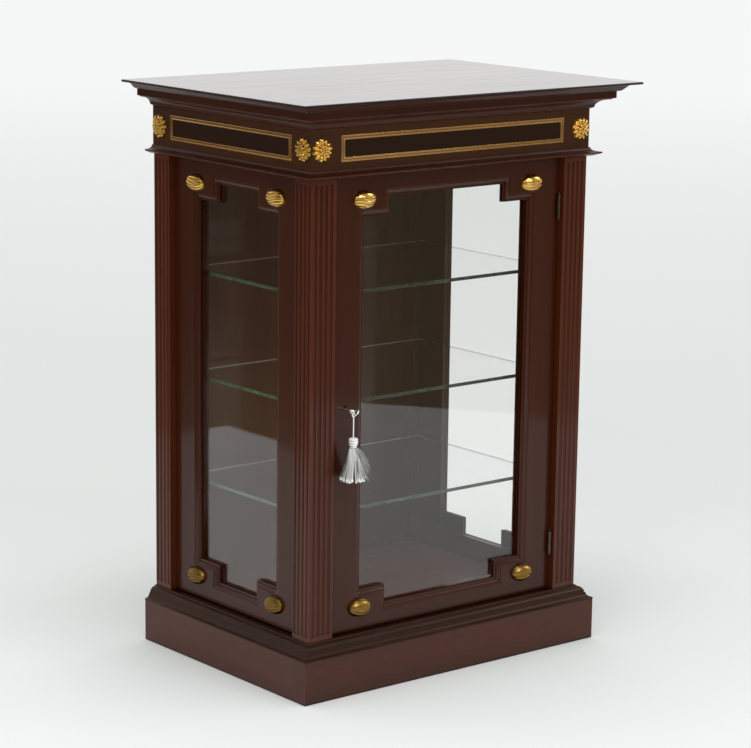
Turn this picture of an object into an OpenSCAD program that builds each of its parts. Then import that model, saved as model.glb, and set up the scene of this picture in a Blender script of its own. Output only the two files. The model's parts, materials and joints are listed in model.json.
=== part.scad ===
// Glazed display cabinet on a plinth: four fluted corner columns, glazed side frames, a glazed door
// on butt hinges, three loose glass shelves, a frieze with inlaid brass, and a moulded top.
// Millimetres. X runs across the front, Y from the front to the back, Z up. The origin is on the floor,
// under the middle of the top.

/* [Carcase] */
// Width over the outer faces of the columns
carcase_w = 542; // [440:1:700]
// Depth from the front of the columns to the back
carcase_d = 400; // [340:1:520]
// Height of the columns
column_h = 696; // [560:1:900]
// Width of a column across the front
column_w = 46; // [43:0.5:60]
// Depth of a column from front to back
column_d = 40; // [39:0.5:55]
// Flutes on each outer face of a column
flute_count = 4; // [2:1:4]
// Distance from one flute to the next
flute_pitch = 9.6; // [7:0.1:10]
// Radius of a flute
flute_r = 2.7; // [1.5:0.1:3.2]
// Plain length left at each end of a column
flute_stop = 8; // [5:0.5:30]

/* [Base] */
// Height of the plinth boards
plinth_h = 66; // [50:1:100]
// Thickness of the plinth boards
plinth_t = 28; // [26:0.5:40]
// How far the plinth stands out from the columns
plinth_out = 22.5; // [16:0.5:25]
// Thickness of the board that the columns stand on
base_t = 22; // [18:0.5:30]
// Side of the glue blocks inside the plinth
glue_block = 34; // [20:1:50]

/* [Top] */
// Thickness of the board over the columns
carcase_top_t = 13; // [12:0.5:20]
// How far the lip under the frieze stands out from the columns
string_out = 17.5; // [12:0.5:22]
// Height of the frieze boards
frieze_h = 60; // [50:1:80]
// Thickness of the frieze boards
frieze_t = 20; // [15:0.5:28]
// How far the frieze stands out from the columns
frieze_out = 2; // [1:0.5:4]
// Height of the cornice moulding
cornice_h = 26; // [22:0.5:34]
// Thickness of the top board
top_t = 17; // [15:0.5:25]
// How far the top board stands out from the columns
top_out = 60; // [50:1:70]

/* [Brass inlay and rosettes] */
// Width of the inlaid brass band
inlay_w = 6.5; // [5:0.5:8]
// Thickness of the brass band
inlay_t = 1.6; // [1.2:0.1:2.5]
// Depth of the groove that the band lies in
inlay_sink = 0.9; // [0.5:0.1:1]
// Height of a brass frame over its outer edges
inlay_h = 38.5; // [30:0.5:44]
// Room between a brass frame and the nearer end of its face
inlay_inset = 54.5; // [46:0.5:80]
// Radius of a rosette
rosette_r = 19; // [15:0.5:22]
// Thickness of a rosette
rosette_t = 9; // [6:0.5:12]
// Petals round a rosette
rosette_petals = 12; // [8:1:14]

/* [Glazed frames] */
// Thickness of the door and side frames
frame_t = 22; // [20:0.5:28]
// How far the frames lie behind the faces of the columns
frame_setback = 11; // [10.5:0.5:14]
// Flat width of a stile
stile_flat = 51; // [46:1:60]
// Flat width of a rail
rail_flat = 22; // [20:1:40]
// Width of the moulded inner edge
mould_w = 11; // [8:0.5:14]
// Depth of the moulded inner edge
mould_d = 10; // [8:0.5:11]
// Depth from the face to the glass
lip_d = 12; // [11.5:0.5:13]
// Width of the rebate behind the moulded edge
rebate_w = 8; // [6:0.5:10]
// Width of the corner blocks inside the stiles
corner_w = 50; // [40:1:60]
// Height of the corner blocks inside the rails
corner_h = 28; // [24:1:45]
// Thickness of the panes
pane_t = 3; // [2:0.5:4]
// Half length of a boss
boss_a = 20; // [14:0.5:24]
// Half height of a boss
boss_b = 13.5; // [10:0.5:16]
// Thickness of a boss
boss_t = 12; // [8:0.5:13]

/* [Door] */
// Gap at each side of the door
door_gap = 1.5; // [1.5:0.1:3]
// Gap over and under the frames
frame_gap = 2; // [1:0.5:4]
// Distance from the end of the door to the middle of a hinge
hinge_inset = 75; // [50:1:140]
// Length of a hinge
hinge_l = 36; // [30:1:60]
// Radius of the hinge barrel
barrel_r = 3.5; // [3:0.1:3.6]
// Radius of the hinge pin
pin_r = 1.25; // [1:0.05:1.5]
// Thickness of a hinge leaf
leaf_t = 1.2; // [1:0.1:1.2]
// Depth of a hinge leaf from the face of the door
leaf_w = 16; // [14:0.5:20]
// Length of a hinge screw
leaf_screw_l = 13; // [8:0.5:16]

/* [Lock and key] */
// Distance from the edge of the door to the key
backset = 24.5; // [22:0.5:30]
// Width of the lock case
lock_w = 40; // [38:0.5:48]
// Height of the lock case
lock_h = 44; // [40:1:60]
// Thickness of the lock case
lock_t = 12; // [12:0.5:13]
// Travel of the bolt
bolt_throw = 8.5; // [6:0.5:9]
// Radius of the key's shank
shank_r = 2.5; // [1.8:0.1:2.7]
// Distance from the face of the door to the middle of the key's bow
bow_reach = 28; // [26:1:34]
// Length of the tassel's cord
cord_l = 30.5; // [30:0.5:45]
// Radius of the tassel's skirt
tassel_r = 26; // [18:0.5:27]
// Length of the tassel
tassel_l = 68; // [50:1:90]

/* [Shelves] */
// Thickness of a glass shelf
shelf_t = 5.5; // [4:0.5:8]
// Height of the lowest shelf over the base board
shelf_first = 186; // [120:1:200]
// Distance from one shelf to the next
shelf_pitch = 166.5; // [100:0.5:190]
// Room between a shelf and the side frames
shelf_gap = 2; // [1:0.5:4]
// Radius of a shelf pin
shelf_pin_r = 3; // [2.5:0.5:3.5]
// Distance from the end of a side frame to a shelf pin
shelf_pin_inset = 30; // [20:1:50]
// Thickness of the back panel
back_t = 12; // [8:0.5:16]
// Length of a back panel screw
back_screw_l = 25; // [20:1:35]

/* [Hidden] */

$fn = 40;

mahogany = [0.27, 0.12, 0.08];
mahogany_dark = [0.17, 0.09, 0.06];
gilt = [0.80, 0.60, 0.25];
brass = [0.62, 0.48, 0.26];
iron = [0.20, 0.18, 0.16];
clear_glass = [0.75, 0.85, 0.82, 0.35];
secondary_wood = [0.40, 0.26, 0.17];
silver_thread = [0.80, 0.80, 0.78];

// Faces of the carcase
half_w = carcase_w / 2;
back_y = (carcase_d + top_out) / 2;
front_y = back_y - carcase_d;
inner_x = half_w - column_w;
side_front_y = front_y + column_d;
side_rear_y = back_y - column_d;

// Levels from the floor up
base_z = plinth_h;
foot_z = base_z + base_t;
head_z = foot_z + column_h;
frieze_z = head_z + carcase_top_t;
cornice_z = frieze_z + frieze_h;
top_z = cornice_z + cornice_h;

// Running clearances
slip = 0.3;
fit = 0.05;
mitre_gap = 0.1;
over = 1;

// Glazed frames
stile_w = stile_flat + mould_w;
rail_w = rail_flat + mould_w;
frame_z = foot_z + frame_gap;
frame_h = column_h - 2 * frame_gap;
door_w = 2 * (inner_x - door_gap);
door_y = front_y + frame_setback;
side_w = side_rear_y - side_front_y;
side_x = half_w - frame_setback;
side_y = (side_front_y + side_rear_y) / 2;
boss_u = 58;
boss_v = 34;
boss_sink = boss_b - boss_t;
quirk = 1;
cavetto_w = 0.68 * mould_w;
cavetto_d = 0.45 * mould_d;

// Hinges: the barrel lies in the corner between the door's face and the column
hinge_x = inner_x - slip - barrel_r;
hinge_y = door_y - barrel_r - 0.5;
knuckle_l = hinge_l / 3;
hinge_zs = [frame_z + hinge_inset, frame_z + frame_h - hinge_inset];
leaf_back_y = door_y + leaf_w;
leaf_screw_y = door_y + 0.56 * leaf_w;
leaf_screw_z = hinge_l / 2 - 7;
finial_r = 1.9;

// Lock and key
key_x = -door_w / 2 + backset;
key_z = frame_z + frame_h / 2;
lock_y = door_y + (frame_t - lock_t) / 2;
lock_wall = 1.5;
lock_mid_y = lock_y + lock_t / 2;
key_angle = 45;
bow_y = door_y - bow_reach;
bow_r = 4.7;
bow_tube = 1.3;
bit_r = 8;
bit_t = 2.2;
bit_l = lock_t - 2 * lock_wall - 2.5;
bolt_z = 5.2;
bolt_h = 9.8;
bolt_y = bit_l + 0.5;
talon = [0.5, 8, 3.6];
strike_t = 1.2;
strike = [16, 34];
bow_rim = bow_r * cos(key_angle);
loop_x = key_x - bow_rim;
loop_z = key_z - bow_rim;
cord_r = 0.9;
loop_hole = bow_tube + slip;
cord_top_z = loop_z - loop_hole - 2 * cord_r;
tassel_z = cord_top_z - cord_l;
head_r = 7.6;
head_l = 16;

// Shelves
pane_x = side_x - frame_t;
shelf_half_w = pane_x - shelf_gap;
shelf_front_y = side_front_y + 2;
shelf_rear_y = side_rear_y - 2;
shelf_zs = [for (i = [0:2]) foot_z + shelf_first - shelf_t + i * shelf_pitch];
shelf_pin_in = 10;
shelf_pin_out = 10;
shelf_pin_drop = shelf_pin_r / 2;
shelf_pin_ys = [side_front_y + shelf_pin_inset, side_rear_y - shelf_pin_inset];

// Back panel
back_rebate = 10;
back_screw_zs = [for (k = [0.06, 0.35, 0.65, 0.94]) foot_z + k * column_h];
back_screw_x = inner_x + back_rebate / 2;

// A box between two opposite corners
module span(lo, hi) {
    translate(lo) cube(hi - lo);
}

// Points of a quarter turn about a centre, from one angle to another
function arc(c, rx, ry, from, to, steps = 7) =
    [for (i = [0:steps]) let (a = from + (to - from) * i / steps) [c.x + rx * cos(a), c.y + ry * sin(a)]];

// A body of revolution about Z from [radius, height] points
module turned(points) {
    rotate_extrude() polygon(points);
}

// A spheroid with its long half axis a along X and the half axis b across
module spheroid(a, b) {
    rotate([0, 90, 0])
        turned(concat([[0, -a]], [for (t = [-75:30:75]) [b * cos(t), a * sin(t)]], [[0, a]]));
}

// A wood screw along -Z with its flush head at the origin, or its hole when room is given
module screw(length, shaft_r, head_r, room = 0) {
    turned([[0, 0], [head_r + room, 0], [shaft_r + room, -head_r + shaft_r], [shaft_r + room, -length + 2],
            [0, -length - room]]);
}

// A board whose front and two ends carry one moulded edge. The edge lists [distance out, height]
// from the bottom to the top, measured from the faces at x = half width and y = front.
module moulded_board(edge, w, fy, by) {
    n = len(edge);
    intersection() {
        translate([0, by, 0]) rotate([90, 0, 0]) linear_extrude(by - fy + 2 * top_out)
            polygon(concat([for (p = edge) [w + p.x, p.y]],
                           [for (i = [n - 1:-1:0]) [-w - edge[i].x, edge[i].y]]));
        translate([-w - 2 * top_out, 0, 0]) rotate([90, 0, 90]) linear_extrude(2 * (w + 2 * top_out))
            polygon(concat([for (p = edge) [fy - p.x, p.y]], [[by, edge[n - 1].y], [by, edge[0].y]]));
    }
}

// The same moulded edge as three strips, mitred at the front corners, with their backs depth inside
module mitred_strips(edge, w, fy, by, depth, reach) {
    z0 = edge[0].y - over;
    h = edge[len(edge) - 1].y - z0 + over;
    module strips() {
        difference() {
            moulded_board(edge, w, fy, by);
            span([-w + depth, fy + depth, z0], [w - depth, by + over, z0 + h]);
        }
    }
    module mitre(points) {
        intersection() {
            strips();
            translate([0, 0, z0]) linear_extrude(h) polygon(points);
        }
    }
    inner = [w - depth, fy + depth];
    outer = [w + reach, fy - reach];
    mitre([[-inner.x, inner.y], inner, outer, [-outer.x, outer.y]]);
    for (s = [-1, 1])
        mitre([[s * inner.x, inner.y + mitre_gap], [s * outer.x, outer.y + mitre_gap], [s * outer.x, by],
               [s * inner.x, by]]);
}

// Moulded edges
// Base: ledge, ovolo, quirk and cove down to the plinth
ovolo_r = 0.45 * base_t;
base_edge = concat(
    [[0, base_z], [plinth_out, base_z], [plinth_out, base_z + 1.5]],
    arc([plinth_out, foot_z - 2 - ovolo_r], plinth_out - ovolo_r - 4, foot_z - 4 - ovolo_r - base_z, 270, 180, 6),
    [[ovolo_r + 2.5, foot_z - 2 - ovolo_r]],
    arc([2.5, foot_z - 2 - ovolo_r], ovolo_r, ovolo_r, 0, 90),
    [[2.5, foot_z], [0, foot_z]]);

// Lip under the frieze: hollow above and below a thin edge
lip_z = head_z + 0.42 * carcase_top_t;
string_edge = concat(
    [[0, head_z], [string_out * 0.4, head_z]],
    [[string_out - 1.5, lip_z - 2], [string_out, lip_z - 1.2], [string_out, lip_z + 0.8]],
    arc([string_out - 1.5, frieze_z - 1], string_out - 5.5, frieze_z - lip_z - 1.8, 270, 180, 6),
    [[4, frieze_z], [0, frieze_z]]);

// Cornice: fillet, cove and fascia, measured from the frieze's faces
fascia_out = 29;
cornice_edge = concat(
    [[0, cornice_z], [3, cornice_z + 1.5], [5, cornice_z + 2.6]],
    arc([fascia_out - 5, cornice_z + 2.6], fascia_out - 10, cornice_h - 13.5, 180, 90),
    [[fascia_out - 5, cornice_z + cornice_h - 10], [fascia_out, cornice_z + cornice_h - 8.6],
     [fascia_out, top_z], [0, top_z]]);

// Top board: fillet, ogee and thin lip, measured from the columns' faces
edge_out = fascia_out + frieze_out;
lip_t = 4;
ogee_w = top_out - 11 - edge_out - 2;
ogee_h = top_t - lip_t - 2;
top_edge = concat(
    [[0, top_z], [edge_out, top_z], [edge_out, top_z + 2], [edge_out + 2, top_z + 2]],
    [for (i = [1:10]) [edge_out + 2 + ogee_w * i / 10, top_z + 2 + ogee_h * (1 - cos(18 * i)) / 2]],
    [[top_out - 1.5, top_z + top_t - lip_t], [top_out, top_z + top_t - lip_t + 1.2],
     [top_out, top_z + top_t - 1.2], [top_out - 1.2, top_z + top_t], [0, top_z + top_t]]);

// Inner edge of a glazed frame: [distance out from the sight line, depth from the face]
sight_edge = concat(
    [[mould_w, -over], [mould_w, quirk]],
    arc([mould_w, quirk + cavetto_d], cavetto_w, cavetto_d, 270, 180, 6),
    arc([0, mould_d], mould_w - cavetto_w, mould_d - quirk - cavetto_d, -90, 0, 5),
    [[0, mould_d], [0, lip_d], [rebate_w, lip_d], [rebate_w, frame_t + over]]);
bead_start = 9;

// Base

module plinth_front() {
    color(mahogany)
        span([-half_w - plinth_out, front_y - plinth_out, 0], [half_w + plinth_out, front_y - plinth_out + plinth_t, base_z]);
}

module plinth_side(s) {
    color(mahogany)
        translate([s * (half_w + plinth_out - plinth_t / 2), 0, 0])
            span([-plinth_t / 2, front_y - plinth_out + plinth_t, 0], [plinth_t / 2, back_y, base_z]);
}

module plinth_back() {
    w = half_w + plinth_out - plinth_t;
    color(secondary_wood) span([-w, back_y - plinth_t, 0], [w, back_y, base_z]);
}

module plinth_glue_blocks() {
    x = half_w + plinth_out - plinth_t;
    color(secondary_wood)
        for (s = [-1, 1], y = [front_y - plinth_out + plinth_t, back_y - plinth_t - glue_block])
            translate([s * (x - glue_block / 2), y, 0])
                span([-glue_block / 2, 0, 5], [glue_block / 2, glue_block, base_z]);
}

module base_board() {
    color(mahogany) span([-half_w, front_y, base_z], [half_w, back_y, foot_z]);
}

module base_moulding() {
    color(mahogany_dark) mitred_strips(base_edge, half_w, front_y, back_y, 0, plinth_out);
}

// Columns

// One flute, cut a little less than half round into a face that it is centred on
module flute() {
    translate([0, 0, foot_z + flute_stop]) cylinder(r = flute_r, h = column_h - 2 * flute_stop);
}

function flute_at(middle, i) = middle + (i - (flute_count - 1) / 2) * flute_pitch;

module side_flutes(s, middle_y) {
    for (i = [0:flute_count - 1]) translate([s * (half_w + 0.4), flute_at(middle_y, i), 0]) flute();
}

module front_column(s) {
    difference() {
        translate([s * (half_w - column_w / 2), 0, 0])
            span([-column_w / 2, front_y, foot_z], [column_w / 2, side_front_y, head_z]);
        side_flutes(s, front_y + column_d / 2);
        for (i = [0:flute_count - 1])
            translate([flute_at(s * (half_w - column_w / 2), i), front_y - 0.4, 0]) flute();
    }
}

module front_left_column() {
    color(mahogany) difference() {
        front_column(-1);
        strike_place(0);
        bolt_space(-inner_x - strike_t - bolt_throw, -inner_x);
    }
}

module front_right_column() {
    color(mahogany) difference() {
        front_column(1);
        leaf_screws(inner_x - leaf_t, 1, fit);
    }
}

module rear_column(s) {
    color(mahogany) difference() {
        translate([s * (half_w - column_w / 2), 0, 0])
            span([-column_w / 2, side_rear_y, foot_z], [column_w / 2, back_y, head_z]);
        side_flutes(s, back_y - column_d / 2);
        translate([s * inner_x, 0, 0])
            span([-back_rebate, back_y - back_t, foot_z - over], [back_rebate, back_y + over, head_z + over]);
        back_screws(fit);
    }
}

// Glazed frames, drawn with x across, the face at y = 0 and the foot at z = 0

// The space that a rectangular opening with the moulded edge takes away
module moulded_opening(a, z0, z1) {
    n = len(sight_edge);
    intersection() {
        translate([0, 0, z0 - 2 * mould_w]) linear_extrude(z1 - z0 + 4 * mould_w)
            polygon(concat([for (p = sight_edge) [a + p.x, p.y]],
                           [for (i = [n - 1:-1:0]) [-a - sight_edge[i].x, sight_edge[i].y]]));
        translate([-a - 2 * mould_w, 0, 0]) rotate([90, 0, 90]) linear_extrude(2 * (a + 2 * mould_w))
            polygon(concat([for (p = sight_edge) [p.y, z1 + p.x]],
                           [for (i = [n - 1:-1:0]) [sight_edge[i].y, z0 - sight_edge[i].x]]));
    }
}

// The whole frame as one slab with its stepped opening
module frame_slab(w) {
    a = w / 2 - stile_w;
    difference() {
        span([-w / 2, 0, 0], [w / 2, frame_t, frame_h]);
        moulded_opening(a, rail_w + corner_h, frame_h - rail_w - corner_h);
        moulded_opening(a - corner_w, rail_w, frame_h - rail_w);
        span([-a - rebate_w, lip_d, rail_w - rebate_w], [a + rebate_w, frame_t + over, frame_h - rail_w + rebate_w]);
    }
}

module frame_stile(w, s) {
    intersection() {
        frame_slab(w);
        translate([s * (w / 2 - stile_w / 2), 0, 0])
            span([-stile_w / 2, -over, -over], [stile_w / 2, frame_t + over, frame_h + over]);
    }
}

module frame_rail(w, at_top) {
    intersection() {
        frame_slab(w);
        translate([0, 0, at_top ? frame_h - rail_w : 0])
            span([-w / 2 + stile_w, -over, 0], [w / 2 - stile_w, frame_t + over, rail_w]);
    }
}

module frame_corner_blocks(w) {
    a = w / 2 - stile_w;
    for (s = [-1, 1], z = [rail_w, frame_h - rail_w - corner_h])
        intersection() {
            frame_slab(w);
            translate([s * (a - corner_w / 2), 0, z])
                span([-corner_w / 2, -over, 0], [corner_w / 2, lip_d, corner_h]);
        }
}

module frame_pane(w) {
    a = w / 2 - stile_w + rebate_w - 0.5;
    v = rail_w - rebate_w + 0.5;
    color(clear_glass) span([-a, lip_d, v], [a, lip_d + pane_t, frame_h - v]);
}

module frame_beads(w) {
    a = w / 2 - stile_w;
    v = rail_w;
    for (s = [-1, 1]) {
        translate([s * (a + rebate_w / 2), 0, 0])
            span([-rebate_w / 2, lip_d + pane_t, v - rebate_w], [rebate_w / 2, frame_t, frame_h - v + rebate_w]);
        translate([0, 0, s < 0 ? v - rebate_w : frame_h - v])
            span([-a + mitre_gap, lip_d + pane_t, 0], [a - mitre_gap, frame_t, rebate_w]);
    }
}

// An oval boss with lengthwise grooves, its back on y = 0
module boss() {
    intersection() {
        translate([0, boss_sink, 0]) difference() {
            spheroid(boss_a, boss_b);
            for (tilt = [-56, -28, 0, 28, 56])
                difference() {
                    rotate([tilt, 0, 0]) translate([0, -boss_b, 0]) cube([3 * boss_a, 2 * boss_b - 4, 2], center = true);
                    spheroid(boss_a - 1.2, boss_b - 1.2);
                }
        }
        translate([0, -boss_b, 0]) cube([2 * boss_a + 2, 2 * boss_b, 2 * boss_b + 2], center = true);
    }
}

module frame_bosses(w) {
    color(gilt)
        for (s = [-1, 1], z = [boss_v, frame_h - boss_v])
            translate([s * (w / 2 - boss_u), 0, z]) boss();
}

// Side frames: 1 is the right side and -1 the left
module at_side(s) {
    translate([s * side_x, side_y, frame_z]) rotate([0, 0, s * 90]) children();
}

// Blind holes for the shelf pins of one side
module pin_holes(s) {
    for (z = shelf_zs, y = shelf_pin_ys)
        translate([s * (pane_x - over), y, z - shelf_pin_drop]) rotate([0, s * 90, 0])
            cylinder(r = shelf_pin_r + fit, h = shelf_pin_in + over);
}

module side_stile(s, at_front) {
    color(mahogany) difference() {
        at_side(s) frame_stile(side_w, at_front ? -s : s);
        pin_holes(s);
    }
}

module side_rail(s, at_top) {
    color(mahogany) at_side(s) frame_rail(side_w, at_top);
}

module side_corner_blocks() {
    color(mahogany_dark) for (s = [-1, 1]) at_side(s) frame_corner_blocks(side_w);
}

module side_glazing_beads() {
    color(secondary_wood) for (s = [-1, 1]) at_side(s) frame_beads(side_w);
}

module side_bosses() {
    for (s = [-1, 1]) at_side(s) frame_bosses(side_w);
}

// Back

module back_screws(room) {
    for (s = [-1, 1], z = back_screw_zs)
        translate([s * back_screw_x, back_y, z]) rotate([-90, 0, 0]) screw(back_screw_l, 1.75, 3.5, room);
}

module back_panel() {
    x = inner_x + back_rebate;
    color(mahogany) difference() {
        span([-x, back_y - back_t, foot_z], [x, back_y, head_z]);
        back_screws(fit);
    }
}

module back_panel_screws() {
    color(iron) back_screws(0);
}

// Frieze and top

module carcase_top() {
    color(mahogany) span([-half_w, front_y, head_z], [half_w, back_y, frieze_z]);
}

module string_moulding() {
    color(mahogany_dark) mitred_strips(string_edge, half_w, front_y, back_y, 0, string_out);
}

// A flat brass band round a rectangle, standing on y = 0 and grooved along its middle
module inlay_band(half_l, thick, grooved) {
    h = inlay_h / 2;
    g = inlay_w * 0.36;
    module ring(grow, lo, hi) {
        difference() {
            span([-half_l + grow, lo, -h + grow], [half_l - grow, hi, h - grow]);
            span([-half_l + inlay_w - grow, lo - over, -h + inlay_w - grow],
                 [half_l - inlay_w + grow, hi + over, h - inlay_w + grow]);
        }
    }
    difference() {
        ring(0, inlay_sink - thick, inlay_sink);
        if (grooved) ring(g, inlay_sink - thick - over, inlay_sink - thick + 0.6);
    }
}

// The three brass bands, or the shallow grooves that they lie in
module inlays(thick, grooved) {
    mid_z = frieze_z + frieze_h / 2;
    front_half = half_w + frieze_out - inlay_inset;
    side_half = (carcase_d + frieze_out) / 2 - inlay_inset + 7;
    translate([0, front_y - frieze_out, mid_z]) inlay_band(front_half, thick, grooved);
    for (s = [-1, 1])
        translate([s * (half_w + frieze_out), (front_y - frieze_out + back_y) / 2, mid_z]) rotate([0, 0, s * 90])
            inlay_band(side_half, thick, grooved);
}

module frieze_inlay() {
    color(brass) inlays(inlay_t, true);
}

module frieze_front() {
    x = half_w + frieze_out;
    y = front_y - frieze_out;
    color(mahogany) difference() {
        span([-x, y, frieze_z], [x, y + frieze_t, cornice_z]);
        inlays(inlay_sink + over, false);
    }
}

module frieze_side(s) {
    x = half_w + frieze_out - frieze_t / 2;
    color(mahogany) difference() {
        translate([s * x, 0, 0])
            span([-frieze_t / 2, front_y - frieze_out + frieze_t, frieze_z], [frieze_t / 2, back_y, cornice_z]);
        inlays(inlay_sink + over, false);
    }
}

module frieze_rear_rail() {
    x = half_w + frieze_out - frieze_t;
    color(secondary_wood) span([-x, back_y - frieze_t, frieze_z], [x, back_y, top_z]);
}

// One ring of petals: a turned disc with grooves between the petals, standing on z = 0
module petals(r, h0, h1, count, cut_r) {
    difference() {
        turned([[0, 0], [r * 0.94, 0], [r, h0], [r * 0.93, h1 - 0.6], [r * 0.8, h1], [r * 0.45, h1 - 0.8], [0, h1 - 0.8]]);
        for (i = [0:count - 1]) rotate([0, 0, i * 360 / count])
            translate([r * 0.36, 0, h1 + cut_r * 0.4]) rotate([0, 100, 0]) cylinder(r = cut_r, h = r, $fn = 4);
    }
}

// A round flower with two rings of petals and a domed eye, its back on y = 0
module rosette() {
    rotate([90, 0, 0]) {
        petals(rosette_r, 1.2, 0.52 * rosette_t, rosette_petals, 1.7);
        rotate([0, 0, 15]) petals(rosette_r * 0.62, 0.5 * rosette_t, 0.8 * rosette_t, 8, 1.4);
        translate([0, 0, rosette_t - 4.2]) sphere(r = 4.2);
    }
}

module frieze_rosettes() {
    x = half_w + frieze_out;
    z = frieze_z + frieze_h / 2;
    color(gilt) for (s = [-1, 1]) {
        translate([s * (x - rosette_r), front_y - frieze_out, z]) rosette();
        for (y = [front_y - frieze_out + rosette_r, back_y - rosette_r])
            translate([s * x, y, z]) rotate([0, 0, s * 90]) rosette();
    }
}

module cornice_moulding() {
    color(mahogany_dark)
        mitred_strips(cornice_edge, half_w + frieze_out, front_y - frieze_out, back_y, frieze_t, fascia_out);
}

module top_board() {
    color(mahogany) moulded_board(top_edge, half_w, front_y, back_y);
}

// Shelves

module shelf(i) {
    color(clear_glass)
        span([-shelf_half_w, shelf_front_y, shelf_zs[i]], [shelf_half_w, shelf_rear_y, shelf_zs[i] + shelf_t]);
}

// Round pins in the side frames, each with a flat that the glass lies on
module shelf_pins() {
    color(brass)
        for (s = [-1, 1], z = shelf_zs, y = shelf_pin_ys)
            difference() {
                translate([s * (pane_x + shelf_pin_in), y, z - shelf_pin_drop]) rotate([0, -s * 90, 0])
                    cylinder(r = shelf_pin_r, h = shelf_pin_in + shelf_pin_out);
                translate([s * (pane_x - shelf_pin_out / 2 - 0.25), y, z + shelf_pin_r / 2])
                    cube([shelf_pin_out + 0.5, 2 * shelf_pin_r + over, shelf_pin_r], center = true);
            }
}

// Door

module at_door() {
    translate([0, door_y, frame_z]) children();
}

module door_lock_stile() {
    edge_x = -door_w / 2;
    color(mahogany) difference() {
        at_door() frame_stile(door_w, -1);
        span([edge_x - over, lock_y - fit, key_z - lock_h / 2 - fit],
             [edge_x + lock_w + fit, lock_y + lock_t + fit, key_z + lock_h / 2 + fit]);
        keyhole(door_y - over, lock_y + over);
    }
}

module door_hinge_stile() {
    color(mahogany) difference() {
        at_door() frame_stile(door_w, 1);
        for (z = hinge_zs)
            span([door_w / 2 - leaf_t, door_y - over, z - hinge_l / 2], [door_w / 2 + over, leaf_back_y, z + hinge_l / 2]);
        leaf_screws(door_w / 2, -1, fit);
    }
}

module door_rail(at_top) {
    color(mahogany) at_door() frame_rail(door_w, at_top);
}

module door_corner_blocks() {
    color(mahogany_dark) at_door() frame_corner_blocks(door_w);
}

module door_glazing_beads() {
    color(secondary_wood) at_door() frame_beads(door_w);
}

// Hinges

// Screws through one row of leaves: side 1 goes into the column and -1 into the door
module leaf_screws(x, side, room) {
    for (z = hinge_zs, k = [-1, 1])
        translate([x, leaf_screw_y, z + k * leaf_screw_z]) rotate([0, -side * 90, 0]) screw(leaf_screw_l, 1.3, 2.3, room);
}

// Barrel pieces between two heights, measured from the middle of a hinge
module knuckle(z, lo, hi) {
    translate([hinge_x, hinge_y, z + lo]) difference() {
        cylinder(r = barrel_r, h = hi - lo);
        translate([0, 0, -over]) cylinder(r = pin_r + fit, h = hi - lo + 2 * over);
    }
}

module hinge_frame_leaves() {
    gap = slip / 2;
    color(iron) difference() {
        for (z = hinge_zs) {
            span([inner_x - leaf_t, door_y + slip, z - hinge_l / 2], [inner_x, leaf_back_y, z + hinge_l / 2]);
            for (e = [[-hinge_l / 2, -knuckle_l / 2 - gap], [knuckle_l / 2 + gap, hinge_l / 2]]) {
                knuckle(z, e[0], e[1]);
                span([inner_x - leaf_t, hinge_y, z + e[0]], [inner_x, door_y + slip + 0.1, z + e[1]]);
            }
        }
        leaf_screws(inner_x - leaf_t, 1, fit);
    }
}

module hinge_door_leaves() {
    gap = slip / 2;
    color(iron) difference() {
        for (z = hinge_zs) {
            span([door_w / 2 - leaf_t, door_y, z - hinge_l / 2], [door_w / 2, leaf_back_y, z + hinge_l / 2]);
            knuckle(z, -knuckle_l / 2 + gap, knuckle_l / 2 - gap);
            span([door_w / 2 - leaf_t, hinge_y + 1.2, z - knuckle_l / 2 + gap],
                 [door_w / 2, door_y + 0.1, z + knuckle_l / 2 - gap]);
        }
        leaf_screws(door_w / 2, -1, fit);
    }
}

module hinge_pins() {
    color(iron) for (z = hinge_zs) translate([hinge_x, hinge_y, z - hinge_l / 2 - 0.6]) {
        cylinder(r = pin_r, h = hinge_l + 1.2);
        for (h = [0, hinge_l + 1.2])
            translate([0, 0, h + (h > 0 ? 1 : -1) * (finial_r - 0.6)]) sphere(r = finial_r);
    }
}

module hinge_frame_screws() {
    color(iron) leaf_screws(inner_x - leaf_t, 1, 0);
}

module hinge_door_screws() {
    color(iron) leaf_screws(door_w / 2, -1, 0);
}

// Lock

// The path of the bolt between two places across the cabinet
module bolt_space(x0, x1) {
    span([x0 - slip, lock_mid_y - bolt_y / 2 - slip, key_z + bolt_z - slip],
         [x1 + slip, lock_mid_y + bolt_y / 2 + slip, key_z + bolt_z + bolt_h + slip]);
}

// Room for the shank and the bit, at the angle at which the key goes in
module keyhole(y0, y1) {
    translate([key_x, y0, key_z]) rotate([0, -key_angle, 0]) {
        rotate([-90, 0, 0]) cylinder(r = shank_r + slip, h = y1 - y0);
        span([0, 0, -bit_t / 2 - slip], [bit_r + slip, y1 - y0, bit_t / 2 + slip]);
    }
}

module strike_place(room) {
    span([-inner_x - strike_t, lock_mid_y - strike[0] / 2 - room, key_z + bolt_z + bolt_h / 2 - strike[1] / 2 - room],
         [-inner_x + room, lock_mid_y + strike[0] / 2 + room, key_z + bolt_z + bolt_h / 2 + strike[1] / 2 + room]);
}

module strike_plate() {
    color(brass) difference() {
        strike_place(0);
        bolt_space(-inner_x - 2 * strike_t, -inner_x + over);
    }
}

module lock_case() {
    x0 = -door_w / 2;
    x1 = x0 + lock_w;
    color(brass) difference() {
        span([x0, lock_y, key_z - lock_h / 2], [x1, lock_y + lock_t, key_z + lock_h / 2]);
        span([x0 + lock_wall, lock_y + lock_wall, key_z - lock_h / 2 + lock_wall],
             [x1 - lock_wall, lock_y + lock_t - lock_wall, key_z + lock_h / 2 - lock_wall]);
        keyhole(lock_y - over, lock_y + lock_wall + over);
        bolt_space(x0 - over, x0 + 2 * lock_wall);
    }
}

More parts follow.
